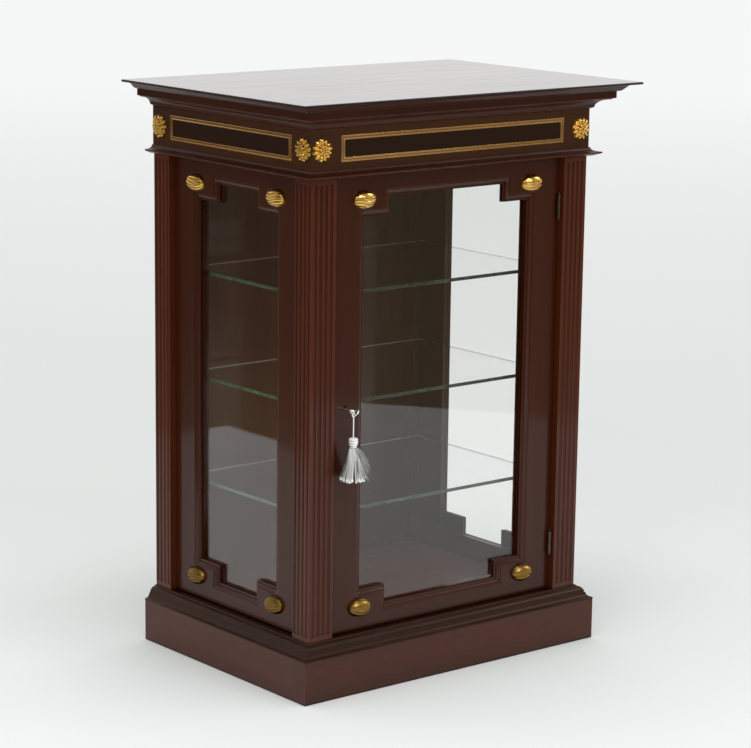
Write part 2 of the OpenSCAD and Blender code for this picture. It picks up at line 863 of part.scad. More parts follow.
module lock_bolt() {
    y0 = lock_mid_y - bolt_y / 2;
    color(brass) difference() {
        span([-door_w / 2 + 0.2, y0, key_z + bolt_z], [key_x + talon[1] + 3, y0 + bolt_y, key_z + bolt_z + bolt_h]);
        span([key_x + talon[0], y0 - over, key_z + bolt_z - over],
             [key_x + talon[1], y0 + bolt_y + over, key_z + bolt_z + talon[2]]);
    }
}

// Key: ring bow, collar, shank and bit, turned about its own axis to the angle at which it goes in
module key() {
    tip_y = lock_y + lock_t - lock_wall - 0.5;
    shank_y = -bow_r;
    color(brass) translate([key_x, bow_y, key_z]) rotate([0, -key_angle, 0]) {
        rotate_extrude() translate([bow_r, 0]) circle(r = bow_tube);
        translate([0, bow_r - 0.6, 0]) rotate([-90, 0, 0]) cylinder(r = shank_r, h = tip_y - bow_y + shank_y + 0.6);
        translate([0, bow_r + 1.5, 0]) rotate([-90, 0, 0]) cylinder(r = shank_r + 0.9, h = 2.2);
        translate([0, lock_mid_y - bow_y - bit_l / 2, 0])
            span([0, 0, -bit_t / 2], [bit_r, bit_l, bit_t / 2]);
    }
}

// Tassel

// A cord's route as points from its top, in its own axes
cord_route = [for (i = [0:7]) [0, 0, -cord_l * i / 7]];

// An eight-sided tube along a route that runs down, one ring at each point
module tube(route, r, sides = 8) {
    n = len(route);
    points = [for (p = route, k = [0:sides - 1]) p + [r * cos(k * 360 / sides), r * sin(k * 360 / sides), 0]];
    walls = [for (i = [0:n - 2], k = [0:sides - 1]) let (a = i * sides + k, b = i * sides + (k + 1) % sides)
             each [[a, b, b + sides], [a, b + sides, a + sides]]];
    polyhedron(concat(points),
               concat(walls, [[for (k = [sides - 1:-1:0]) k]], [[for (k = [0:sides - 1]) (n - 1) * sides + k]]));
}

module tassel_loop() {
    color(silver_thread) translate([loop_x, bow_y, loop_z]) rotate([90, 0, 0])
        rotate_extrude() translate([loop_hole + cord_r, 0]) circle(r = cord_r, $fn = 16);
}

module tassel_cord() {
    color(silver_thread) translate([loop_x, bow_y, cord_top_z]) tube(cord_route, cord_r);
}

// Turned head and neck over a flaring skirt of threads
module tassel() {
    neck_r = head_r * 0.62;
    color(silver_thread) translate([loop_x, bow_y, tassel_z])
        turned([[0, 0], [head_r * 0.45, -0.4], [head_r * 0.9, -3], [head_r, -6.5], [head_r * 0.9, -10],
                [neck_r, -head_l + 3], [neck_r, -head_l], [head_r * 0.95, -head_l - 1.5],
                [head_r * 1.05, -head_l - 5], [tassel_r * 0.62, -tassel_l * 0.62],
                [tassel_r * 0.94, -tassel_l * 0.92], [tassel_r, -tassel_l + 1.5],
                [tassel_r - 1.5, -tassel_l], [0, -tassel_l]]);
}

plinth_front();
plinth_side(-1);  // plinth_left
plinth_side(1);  // plinth_right
plinth_back();
plinth_glue_blocks();
base_board();
base_moulding();
front_left_column();
front_right_column();
rear_column(-1);  // rear_left_column
rear_column(1);  // rear_right_column
side_stile(-1, true);  // left_front_stile
side_stile(-1, false);  // left_rear_stile
side_rail(-1, true);  // left_top_rail
side_rail(-1, false);  // left_bottom_rail
at_side(-1) frame_pane(side_w);  // left_glass
side_stile(1, true);  // right_front_stile
side_stile(1, false);  // right_rear_stile
side_rail(1, true);  // right_top_rail
side_rail(1, false);  // right_bottom_rail
at_side(1) frame_pane(side_w);  // right_glass
side_corner_blocks();
side_glazing_beads();
side_bosses();
back_panel();
back_panel_screws();
carcase_top();
string_moulding();
frieze_front();
frieze_side(-1);  // frieze_left
frieze_side(1);  // frieze_right
frieze_rear_rail();
frieze_inlay();
frieze_rosettes();
cornice_moulding();
top_board();
shelf(2);  // upper_shelf
shelf(1);  // middle_shelf
shelf(0);  // lower_shelf
shelf_pins();
door_lock_stile();
door_hinge_stile();
door_rail(true);  // door_top_rail
door_rail(false);  // door_bottom_rail
door_corner_blocks();
at_door() frame_pane(door_w);  // door_glass
door_glazing_beads();
at_door() frame_bosses(door_w);  // door_bosses
hinge_frame_leaves();
hinge_door_leaves();
hinge_pins();
hinge_frame_screws();
hinge_door_screws();
strike_plate();
lock_case();
lock_bolt();
key();
tassel_loop();
tassel_cord();
tassel();
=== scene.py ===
"""Display cabinet in polished mahogany with gilt brass mounts: its looks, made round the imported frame."""
import json
import math

import bmesh
import bpy
import numpy as np
from mathutils import Matrix, Vector
from mathutils.bvhtree import BVHTree


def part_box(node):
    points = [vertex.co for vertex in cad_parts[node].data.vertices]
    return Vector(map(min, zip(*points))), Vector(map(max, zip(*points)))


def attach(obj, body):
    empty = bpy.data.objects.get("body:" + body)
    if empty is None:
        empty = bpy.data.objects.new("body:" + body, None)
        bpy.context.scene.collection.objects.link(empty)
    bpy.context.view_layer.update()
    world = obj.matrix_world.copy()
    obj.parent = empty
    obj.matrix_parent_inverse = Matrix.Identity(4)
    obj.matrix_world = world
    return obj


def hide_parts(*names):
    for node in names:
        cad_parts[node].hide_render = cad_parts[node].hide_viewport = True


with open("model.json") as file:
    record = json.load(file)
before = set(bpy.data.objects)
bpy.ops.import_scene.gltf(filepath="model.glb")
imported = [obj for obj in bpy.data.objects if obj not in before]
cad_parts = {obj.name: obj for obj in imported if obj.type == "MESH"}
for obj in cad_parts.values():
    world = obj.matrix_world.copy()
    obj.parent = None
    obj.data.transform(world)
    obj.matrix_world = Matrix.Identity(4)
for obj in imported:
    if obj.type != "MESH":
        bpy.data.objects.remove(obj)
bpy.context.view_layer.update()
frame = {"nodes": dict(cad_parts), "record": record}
NODES = frame["nodes"]
BODY_OF = {node: body for body, nodes in frame["record"]["behaviour"]["bodies"].items() for node in nodes}
MM = 0.001
TAU = 2 * math.pi
GOLDEN = 0.618034

# The case's own places, in mm: faces that carry mounts, and the middles of the frieze and of its sides
DOOR_FACE, SIDE_FACE = -159, 260
FRIEZE_FRONT, FRIEZE_SIDE, FRIEZE_MIDDLE, SIDE_MIDDLE = -172, 273, 827, 29
# Half the lengths and the height of the inlaid bands, at their outer edges, and the depth of a flute
FRONT_BAND, SIDE_BAND, BAND_TALL = 218.5, 153.5, 19.25
FLUTE_DEPTH = 2.0


# Camera: a place and a turn in radians, with a shift in pixels of the picture

EYE_AT = (-2.6478907, -3.2427154, 1.3038865)
YAW, PITCH, ROLL = -0.67760226, 0.22589120, 0.01201485
LENS, SENSOR = 129.9676, 36
IMAGE_WIDTH, SHIFT_X, SHIFT_Y = 751, 15, 60


def set_camera():
    """Stands at eye height off the left front corner and looks a little down, with a long lens."""
    ahead = Vector((math.sin(-YAW) * math.cos(PITCH), math.cos(YAW) * math.cos(PITCH), -math.sin(PITCH)))
    level = ahead.cross(Vector((0, 0, 1))).normalized()
    rise = level.cross(ahead)
    right = math.cos(ROLL) * level + math.sin(ROLL) * rise
    up = math.cos(ROLL) * rise - math.sin(ROLL) * level
    place = Matrix((right, up, -ahead)).transposed().to_4x4()
    place.translation = EYE_AT
    eye = bpy.data.objects.new("camera", bpy.data.cameras.new("camera"))
    eye.data.sensor_width = SENSOR
    eye.data.lens = LENS
    eye.data.shift_x = SHIFT_X / IMAGE_WIDTH
    eye.data.shift_y = SHIFT_Y / IMAGE_WIDTH
    eye.data.clip_end = 200
    eye.matrix_world = place
    bpy.context.scene.collection.objects.link(eye)
    bpy.context.scene.camera = eye


set_camera()
bpy.context.scene.view_settings.view_transform = "Standard"


# Shader tools

def paint(red, green, blue):
    """The linear colour of a finish that looks like these three values from 0 to 255."""
    share = np.array([red, green, blue]) / 255
    return (*np.where(share > 0.04045, ((share + 0.055) / 1.055) ** 2.4, share / 12.92).tolist(), 1.0)


def give(tree, socket, value):
    """Links a socket to the socket that value is, or else sets it to the value."""
    if isinstance(value, bpy.types.NodeSocket):
        tree.links.new(value, socket)
    else:
        socket.default_value = value


def add(tree, kind, inputs=None, **settings):
    """Adds a shader node. inputs maps a socket's name or number to its value, or to what feeds it."""
    made = tree.nodes.new(kind)
    for key, value in settings.items():
        setattr(made, key, value)
    for key, value in (inputs or {}).items():
        give(tree, made.inputs[key], value)
    return made


def feed(tree, shader, **inputs):
    """Sets or links a shader's sockets, written with _ for a space."""
    for key, value in inputs.items():
        give(tree, shader.inputs[key.replace("_", " ")], value)


def group(name, inputs, outputs):
    """Starts a shader node group with named sockets: (name, kind, value) for each input and (name, kind)
    for each output."""
    tree = bpy.data.node_groups.new(name, "ShaderNodeTree")
    for label, kind, value in inputs:
        tree.interface.new_socket(label, in_out="INPUT", socket_type=kind).default_value = value
    for label, kind in outputs:
        tree.interface.new_socket(label, in_out="OUTPUT", socket_type=kind)
    return tree, tree.nodes.new("NodeGroupInput").outputs, tree.nodes.new("NodeGroupOutput").inputs


def noise(tree, vector, scale, detail=3.0, rough=0.5, bend=0.0):
    """The value of a noise pattern of this scale per metre."""
    inputs = {"Vector": vector, "Scale": scale, "Detail": detail, "Roughness": rough, "Distortion": bend}
    return add(tree, "ShaderNodeTexNoise", inputs).outputs[0]


def spread(tree, value, low, high, to_low=0.0, to_high=1.0):
    """Stretches a value from low...high to to_low...to_high, and holds it there."""
    return add(tree, "ShaderNodeMapRange", {0: value, 1: low, 2: high, 3: to_low, 4: to_high}).outputs[0]


def blend(tree, share, first, second, mode="MIX"):
    """Mixes two colours by a share."""
    inputs = {0: share, 6: first, 7: second}
    return add(tree, "ShaderNodeMix", inputs, data_type="RGBA", blend_type=mode).outputs[2]


def maths(tree, operation, first, second=0.0, third=0.0):
    """One step of arithmetic on up to three values."""
    return add(tree, "ShaderNodeMath", {0: first, 1: second, 2: third}, operation=operation).outputs[0]


def axes(tree, place):
    """The X, Y and Z of a place or a direction."""
    return add(tree, "ShaderNodeSeparateXYZ", {0: place}).outputs


def along_floor(tree, axis, x, y):
    """How far a place or a direction reaches along the level direction (x, y)."""
    return maths(tree, "ADD", maths(tree, "MULTIPLY", axis["X"], x), maths(tree, "MULTIPLY", axis["Y"], y))


def attribute(tree, name, socket="Fac"):
    """A value or colour that the piece's own mesh carries."""
    return add(tree, "ShaderNodeAttribute", attribute_name=name).outputs[socket]


def bump(tree, height, strength, distance):
    """The normal of a surface with this relief."""
    inputs = {"Height": height, "Strength": strength, "Distance": distance}
    return add(tree, "ShaderNodeBump", inputs).outputs[0]


# Effects that several finishes share

VECTOR, FLOAT, COLOUR = "NodeSocketVector", "NodeSocketFloat", "NodeSocketColor"
BLACK = (0.0, 0.0, 0.0, 1.0)
# The rounded edges' light colour stands partly for bare rubbed wood and partly for a painted highlight
PORE, RUBBED_HIGHLIT_WOOD = paint(18, 8, 6), paint(118, 66, 38)


def grain_group():
    """Polished mahogany: slow figure, ribbon stripes, fibres and short dark pores, all drawn out along the
    grain."""
    tree, given, out = group(
        "mahogany grain",
        [("Vector", VECTOR, (0, 0, 0)), ("Ground", COLOUR, BLACK), ("Stripe", COLOUR, BLACK),
         ("Glow", COLOUR, BLACK), ("Pores", FLOAT, 0.5), ("Smooth", FLOAT, 0.3)],
        [("Color", COLOUR), ("Roughness", FLOAT), ("Height", FLOAT)])
    vector = given["Vector"]
    figure = spread(tree, noise(tree, vector, 9, 2.0, 0.5, 0.6), 0.36, 0.66)
    stripe = spread(tree, noise(tree, vector, 70, 5.0, 0.62, 0.25), 0.34, 0.68)
    fibre = noise(tree, vector, 420, 3.0, 0.6)
    pore = spread(tree, noise(tree, vector, 760, 1.0, 0.4), 0.62, 0.74)
    ground = blend(tree, stripe, given["Ground"], given["Stripe"])
    ground = blend(tree, maths(tree, "MULTIPLY", figure, 0.62), ground, given["Glow"])
    ground = blend(tree, spread(tree, fibre, 0.3, 0.7, 0.0, 0.34), ground, given["Stripe"])
    pored = maths(tree, "MULTIPLY", pore, given["Pores"])
    tree.links.new(blend(tree, pored, ground, PORE), out["Color"])
    rough = maths(tree, "MULTIPLY_ADD", stripe, 0.08, given["Smooth"])
    tree.links.new(maths(tree, "MULTIPLY_ADD", pored, 0.12, rough), out["Roughness"])
    height = maths(tree, "MULTIPLY_ADD", fibre, 0.25, maths(tree, "MULTIPLY", pored, -1.0))
    tree.links.new(height, out["Height"])
    return tree


def rubbing_and_highlight_group():
    """Edge rubbing and a painted highlight: the rounded edges carry the attribute edge, and patches of noise
    let it through. The light colour there stands partly for bare rubbed wood and partly for a painted
    highlight along the edges.
    """
    tree, given, out = group(
        "edge wear", [("Vector", VECTOR, (0, 0, 0)), ("Amount", FLOAT, 0.5)], [("Mask", FLOAT)])
    patches = spread(tree, noise(tree, given["Vector"], 38, 4.0, 0.6), 0.4, 0.68, 0.25, 1.0)
    rubbed_and_lit = maths(tree, "MULTIPLY", attribute(tree, "edge"), patches)
    tree.links.new(maths(tree, "MULTIPLY", rubbed_and_lit, given["Amount"]), out["Mask"])
    return tree


def tarnish_group():
    """Tarnish: dark in the hollows that the attribute hollow marks, with thin patches over the rest."""
    tree, given, out = group(
        "tarnish",
        [("Vector", VECTOR, (0, 0, 0)), ("Bright", COLOUR, BLACK), ("Dull", COLOUR, BLACK),
         ("Scale", FLOAT, 60.0), ("Amount", FLOAT, 0.5), ("Smooth", FLOAT, 0.2)],
        [("Color", COLOUR), ("Roughness", FLOAT), ("Height", FLOAT)])
    cloud = noise(tree, given["Vector"], given["Scale"], 5.0, 0.6, 0.4)
    thin = maths(tree, "MULTIPLY", spread(tree, cloud, 0.42, 0.72, 0.0, 0.55), given["Amount"])
    mask = maths(tree, "MAXIMUM", maths(tree, "MULTIPLY", attribute(tree, "hollow"), 0.9), thin)
    tree.links.new(blend(tree, mask, given["Bright"], given["Dull"]), out["Color"])
    tree.links.new(maths(tree, "MULTIPLY_ADD", mask, 0.22, given["Smooth"]), out["Roughness"])
    tree.links.new(noise(tree, given["Vector"], 900, 2.0, 0.5), out["Height"])
    return tree


GRAIN, RUBBING_AND_HIGHLIGHT, TARNISH = grain_group(), rubbing_and_highlight_group(), tarnish_group()
ALONG = {"upright": (1, 1, 0.045), "across": (0.045, 1, 1), "deep": (1, 0.045, 1)}


# Materials

def material(name):
    """A new material with its tree, its Principled shader and the object's own coordinates."""
    made = bpy.data.materials.new(name)
    made.use_nodes = True
    tree = made.node_tree
    return made, tree, tree.nodes["Principled BSDF"], add(tree, "ShaderNodeTexCoord").outputs["Object"]


def wood(name, along, ground, stripe, glow, smooth=0.34, coat=0.36, rubbed_and_lit=0.3, pores=0.4, relief=0.12,
         darker=()):
    """A polished wood whose grain runs along one direction. darker holds pairs of a mask function and the
    colour that multiplies the wood where the mask is 1."""
    made, tree, shader, place = material(name)
    drawn = add(tree, "ShaderNodeMapping", {"Vector": place, "Scale": ALONG[along]}).outputs[0]
    grain = add(tree, "ShaderNodeGroup", node_tree=GRAIN)
    feed(tree, grain, Vector=drawn, Ground=paint(*ground), Stripe=paint(*stripe), Glow=paint(*glow),
         Pores=pores, Smooth=smooth)
    colour = grain.outputs["Color"]
    for mask, shade in darker:
        colour = blend(tree, mask(tree, place), colour, paint(*shade), "MULTIPLY")
    # Rounded edges turn lighter: partly bare rubbed wood, partly a painted highlight
    rubbing_and_highlight = add(tree, "ShaderNodeGroup", {0: place, 1: rubbed_and_lit}, node_tree=RUBBING_AND_HIGHLIGHT).outputs[0]
    colour = blend(tree, rubbing_and_highlight, colour, RUBBED_HIGHLIT_WOOD)
    feed(tree, shader, Base_Color=colour, Roughness=grain.outputs["Roughness"], Specular_IOR_Level=0.12,
         Coat_Weight=coat, Coat_Roughness=0.07, Normal=bump(tree, grain.outputs["Height"], relief, 0.0004))
    return made


def metal(name, bright, dull, scale, amount, smooth):
    """A cast or drawn metal with tarnish in its hollows."""
    made, tree, shader, place = material(name)
    tarnish = add(tree, "ShaderNodeGroup", node_tree=TARNISH)
    feed(tree, tarnish, Vector=place, Bright=paint(*bright), Dull=paint(*dull), Scale=scale, Amount=amount,
         Smooth=smooth)
    feed(tree, shader, Base_Color=tarnish.outputs["Color"], Roughness=tarnish.outputs["Roughness"],
         Metallic=1.0, Normal=bump(tree, tarnish.outputs["Height"], 0.15, 0.0003))
    return made


def glass(name, tint, dust):
    """Clear plate glass with a faint film of dust and wiping marks in its roughness. It casts no dark shadow:
    shadow rays pass through a transparent shader of its tint."""
    made, tree, shader, place = material(name)
    drawn = {"Vector": place, "Scale": (1, 1, 0.25), "Rotation": (0.5, 0.3, 0)}
    wiped = add(tree, "ShaderNodeMapping", drawn).outputs[0]
    film = spread(tree, noise(tree, wiped, 7, 4.0, 0.6, 0.8), 0.45, 0.75, 0.0, dust)
    feed(tree, shader, Base_Color=tint, Roughness=film, IOR=1.5, Transmission_Weight=1.0)
    clear = add(tree, "ShaderNodeBsdfTransparent", {"Color": tint})
    path = add(tree, "ShaderNodeLightPath")
    mixed = add(tree, "ShaderNodeMixShader",
                {0: path.outputs["Is Shadow Ray"], 1: shader.outputs[0], 2: clear.outputs[0]})
    tree.links.new(mixed.outputs[0], tree.nodes["Material Output"].inputs["Surface"])
    return made


def glass_edge(name):
    """The edge of a shelf: dark where it is polished in front, green beyond 235 mm to either side, and pale
    from 140 to 190 mm to the rear, a painted highlight of the window's light on the rear edges."""
    made, tree, shader, place = material(name)
    cloud = noise(tree, place, 55, 3.0, 0.5)
    patches = spread(tree, cloud, 0.3, 0.7)
    dark = blend(tree, patches, paint(18, 28, 22), paint(56, 72, 62))
    green = blend(tree, patches, paint(44, 76, 50), paint(82, 118, 88))
    axis = axes(tree, place)
    colour = blend(tree, spread(tree, maths(tree, "ABSOLUTE", axis["X"]), 0.2345, 0.2352), dark, green)
    # The pale rear band is a painted highlight
    colour = blend(tree, spread(tree, axis["Y"], 0.14, 0.19), colour, paint(226, 228, 218))
    feed(tree, shader, Base_Color=colour, Roughness=spread(tree, cloud, 0.3, 0.7, 0.12, 0.3), IOR=1.5,
         Transmission_Weight=0.1)
    return made


def thread(name, smooth):
    """Silky wound thread: its colour is the attribute tint, with fine lengthwise glints."""
    made, tree, shader, place = material(name)
    glint = noise(tree, place, 1900, 2.0, 0.5)
    colour = blend(tree, spread(tree, glint, 0.35, 0.7, 0.0, 0.1), attribute(tree, "tint", "Color"),
                   paint(190, 192, 194), "MULTIPLY")
    feed(tree, shader, Base_Color=colour, Roughness=spread(tree, glint, 0.3, 0.7, smooth, smooth + 0.25),
         Specular_IOR_Level=0.6, Sheen_Weight=0.5, Normal=bump(tree, glint, 0.3, 0.0002))
    return made


# Masks of the woods, from the object's own coordinates in metres

def shade_in_flutes(tree, place):
    """The attribute hollow, which marks the flutes of the columns, where the wood is darkened with painted
    shade.
    """
    return attribute(tree, "hollow")


def painted_contact_shadow(tree, place):
    """1 on the lowest 2.5 mm of the plinth, where a painted contact shadow darkens it."""
    return spread(tree, axes(tree, place)["Z"], 0.002, 0.003, 1.0, 0.0)


def on_the_lip(tree, place):
    """1 on the lip round the edge of the top board, from 895 to 899 mm up, and 0 on its polished face above
    and on the moulding below."""
    height = axes(tree, place)["Z"]
    return maths(tree, "MULTIPLY", spread(tree, height, 0.8984, 0.8992, 1.0, 0.0),
                 spread(tree, height, 0.8948, 0.8954, 0.0, 1.0))


def shade_in_floor_gap(tree, place):
    """1 on the rim of the floor board outside the frames, beyond 236 mm to either side and 158 mm to the
    front, and 0 within them. The rim shows in the gap under the frames, and its darkening there is painted
    shade."""
    axis = axes(tree, place)
    aside = maths(tree, "GREATER_THAN", maths(tree, "ABSOLUTE", axis["X"]), 0.236)
    before = maths(tree, "LESS_THAN", axis["Y"], -0.158)
    return maths(tree, "MAXIMUM", aside, before)


def within_bands(tree, place):
    """1 inside the inlaid bands of the frieze and 0 outside them, with its border hidden under the brass."""
    axis = axes(tree, place)
    height = maths(tree, "ABSOLUTE", maths(tree, "SUBTRACT", axis["Z"], FRIEZE_MIDDLE * MM))
    depth = maths(tree, "ABSOLUTE", maths(tree, "SUBTRACT", axis["Y"], SIDE_MIDDLE * MM))
    inside = maths(tree, "LESS_THAN", height, (BAND_TALL - 2.75) * MM)
    front = maths(tree, "LESS_THAN", maths(tree, "ABSOLUTE", axis["X"]), (FRONT_BAND - 3.0) * MM)
    side = maths(tree, "LESS_THAN", depth, (SIDE_BAND - 3.0) * MM)
    return maths(tree, "MULTIPLY", inside, maths(tree, "MAXIMUM", front, side))


RED = {"ground": (76, 33, 15), "stripe": (60, 26, 12), "glow": (86, 38, 17)}
COLUMN = {"ground": (81, 34, 15), "stripe": (64, 27, 12), "glow": (90, 40, 18)}
DEEP = {"ground": (58, 22, 6), "stripe": (49, 18, 5), "glow": (66, 26, 8)}
BASE = {"ground": (48, 25, 12), "stripe": (37, 19, 9), "glow": (58, 30, 14)}
# The plinth's foot carries a painted contact shadow, a bluish dark band along the floor
PLINTH = {"ground": (70, 33, 18), "stripe": (56, 27, 15), "glow": (80, 35, 20),
          "darker": [(painted_contact_shadow, (90, 96, 120))]}
FRIEZE = {"ground": (63, 31, 9), "stripe": (50, 24, 8), "glow": (72, 36, 11),
          "darker": [(within_bands, (160, 144, 134))]}
INSIDE = {"ground": (82, 42, 24), "stripe": (64, 32, 19), "glow": (98, 50, 28)}
PINE = {"ground": (120, 84, 54), "stripe": (92, 62, 40), "glow": (140, 100, 66)}

FINISH = {
    # The columns' flutes are darkened with painted shade
    "upright": wood("polished_mahogany_upright", "upright", darker=[(shade_in_flutes, (212, 202, 196))], **COLUMN),
    "across": wood("polished_mahogany_across", "across", **RED),
    "frame_upright": wood("frame_mahogany_upright", "upright", rubbed_and_lit=0.0, **DEEP),
    "frame_across": wood("frame_mahogany_across", "across", rubbed_and_lit=0.0, **DEEP),
    "frame_deep": wood("frame_mahogany_deep", "deep", rubbed_and_lit=0.0, **DEEP),
    "moulding": wood("moulding_mahogany", "across", coat=0.16, rubbed_and_lit=0.4, **DEEP),
    "base": wood("base_moulding_mahogany", "across", coat=0.1, rubbed_and_lit=0.3, **BASE),
    "plinth_across": wood("plinth_mahogany_across", "across", **PLINTH),
    "plinth_deep": wood("plinth_mahogany_deep", "deep", **PLINTH),
    "frieze_across": wood("frieze_veneer_across", "across", rubbed_and_lit=0.1, **FRIEZE),
    "frieze_deep": wood("frieze_veneer_deep", "deep", rubbed_and_lit=0.1, **FRIEZE),
    "top": wood("top_mahogany", "across", smooth=0.16, coat=0.75, rubbed_and_lit=0.0, relief=0.06, **DEEP),
    "lip": wood("top_edge_mahogany", "across", coat=0.2, rubbed_and_lit=0.0,
                darker=[(on_the_lip, (60, 54, 52))], **DEEP),
    # The floor board's rim outside the frames is darkened with painted shade
    "floor": wood("cabinet_floor_mahogany", "across", smooth=0.3, pores=0.2, relief=0.02,
                  darker=[(shade_in_floor_gap, (110, 90, 84))], **INSIDE),
    "back": wood("back_panel_mahogany", "upright", coat=0.3, **INSIDE),
    "pine": wood("secondary_pine", "across", smooth=0.6, coat=0.0, pores=0.15, **PINE),
    "gilt": metal("gilt_brass", (238, 190, 98), (70, 46, 18), 45.0, 0.3, 0.15),
    "inlay": metal("inlaid_brass", (204, 158, 96), (98, 68, 38), 70.0, 0.6, 0.26),
    "pin": metal("shelf_pin_brass", (176, 142, 84), (84, 62, 36), 120.0, 0.6, 0.28),
    "hinge": metal("aged_hinge_brass", (98, 82, 68), (40, 32, 26), 80.0, 0.9, 0.34),
    "nickel": metal("nickel_plate", (250, 249, 246), (176, 172, 166), 160.0, 0.3, 0.2),
    "steel": metal("screw_steel", (150, 148, 144), (84, 80, 76), 140.0, 0.7, 0.3),
    "pane": glass("plate_glass", (0.994, 0.998, 0.995, 1.0), 0.02),
    "edge": glass_edge("glass_ground_edge"),
    "thread": thread("silver_thread", 0.3),
}


# Mesh tools

# How near points of a piece or of a node lie to be merged, and boards to be glued, in metres
MERGED, MERGED_NODE, GLUED = 2e-6, 2e-5, 0.03 * MM
# The turns below which two faces are one and above which their edge is sharp, and the rise of a level face
ONE_FACE, SHARP, LEVEL = math.radians(0.5), math.radians(38.0), 0.9
BEVEL_STEPS, PLIES = 2, 2
# The depth in mm at which the shade of a flute begins
FLUTE_RIM = 0.2


def polish(mesh):
    """Joins what meets, turns all faces outwards and shades them round."""
    bm = bmesh.new()
    bm.from_mesh(mesh)
    bmesh.ops.remove_doubles(bm, verts=bm.verts, dist=MERGED)
    bmesh.ops.recalc_face_normals(bm, faces=bm.faces)
    bm.to_mesh(mesh)
    bm.free()
    mesh.polygons.foreach_set("use_smooth", np.ones(len(mesh.polygons), bool))


def stands_for(made, node, finishes):
    """The piece takes a node's place on its body, with these finishes."""
    for finish in finishes:
        made.data.materials.append(FINISH[finish])
    bpy.context.scene.collection.objects.link(made)
    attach(made, BODY_OF[node])
    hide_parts(node)
    return made


def neighbours():
    """A search tree over the triangles of all nodes, with the node that each triangle belongs to."""
    corners, faces, owners = [], [], []
    start = 0
    for name, holder in NODES.items():
        mesh = holder.data
        mesh.calc_loop_triangles()
        places = np.empty(3 * len(mesh.vertices), np.float32)
        mesh.vertices.foreach_get("co", places)
        numbers = np.empty(3 * len(mesh.loop_triangles), np.int32)
        mesh.loop_triangles.foreach_get("vertices", numbers)
        corners.append(places.reshape(-1, 3))
        faces.append(numbers.reshape(-1, 3) + start)
        owners += [name] * len(mesh.loop_triangles)
        start += len(mesh.vertices)
    return BVHTree.FromPolygons(np.concatenate(corners).tolist(), np.concatenate(faces).tolist()), owners


TREE, OWNERS = neighbours()


def meets_neighbour(edge, node):
    """Whether the middle of an edge lies on another node, as it does where two boards are glued flush."""
    middle = (edge.verts[0].co + edge.verts[1].co) / 2
    return any(OWNERS[face] != node for _, _, face, _ in TREE.find_nearest_range(middle, GLUED))


def eased(node, width, finish, shortest, edge_finish=None, flat=False):
    """A node's own shape, its triangles joined into whole faces, with each sharp edge longer than shortest
    rounded to width, in mm. Glued joints stay sharp. Where edge_finish is given, all but the level faces have
    it in place of finish. A flat piece keeps each face flat. A face's hollow is its depth inside the node's
    upright sides, over the depth of a flute."""
    low, high = (Vector(corner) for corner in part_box(node))
    bm = bmesh.new()
    bm.from_mesh(NODES[node].data)
    bmesh.ops.remove_doubles(bm, verts=bm.verts, dist=MERGED_NODE)
    bmesh.ops.dissolve_limit(bm, angle_limit=ONE_FACE, verts=bm.verts, edges=bm.edges)
    sharp = [e for e in bm.edges
             if e.is_manifold and e.calc_face_angle(0) > SHARP and e.calc_length() > shortest * MM
             and not meets_neighbour(e, node)]
    mark, sunk = bm.faces.layers.float.new("edge"), bm.faces.layers.float.new("hollow")
    for face in bm.faces:
        face.material_index = 0
    bmesh.ops.bevel(bm, geom=sharp, offset=width * MM, offset_type="OFFSET", segments=BEVEL_STEPS,
                    profile=0.5, affect="EDGES", clamp_overlap=False, material=1)
    # The bevel's own faces have come with material 1, so they are marked before the finishes are given
    for face in bm.faces:
        face.smooth = not flat
        face[mark] = float(face.material_index)
        middle = face.calc_center_median()
        depth = min(middle.x - low.x, high.x - middle.x, middle.y - low.y, high.y - middle.y)
        face[sunk] = min(max(depth - FLUTE_RIM * MM, 0) / (FLUTE_DEPTH * MM), 1.0)
        face.material_index = 1 if edge_finish and abs(face.normal.z) < LEVEL else 0
    mesh = bpy.data.meshes.new(node + "_eased")
    bm.to_mesh(mesh)
    bm.free()
    mesh.attributes.remove(mesh.attributes["custom_normal"])
    finishes = [finish, edge_finish] if edge_finish else [finish]
    made = stands_for(bpy.data.objects.new(mesh.name, mesh), node, finishes)
    if not flat:
        mesh.set_sharp_from_angle(angle=SHARP)
        level = made.modifiers.new("flat faces stay flat", "WEIGHTED_NORMAL")
        level.weight = 100
        level.keep_sharp = True


def circle(count):
    """Angles set evenly round a full turn."""
    return np.linspace(0, TAU, count, endpoint=False)


def quads(rows, columns, closed):
    """The corner numbers of a grid's faces. Its columns go round, and so do its rows where it is closed."""
    i, j = np.meshgrid(np.arange(rows - (not closed)), np.arange(columns), indexing="ij")
    k, m = (i + 1) % rows, (j + 1) % columns
    return np.stack([i * columns + j, i * columns + m, k * columns + m, k * columns + j], -1).reshape(-1, 4)


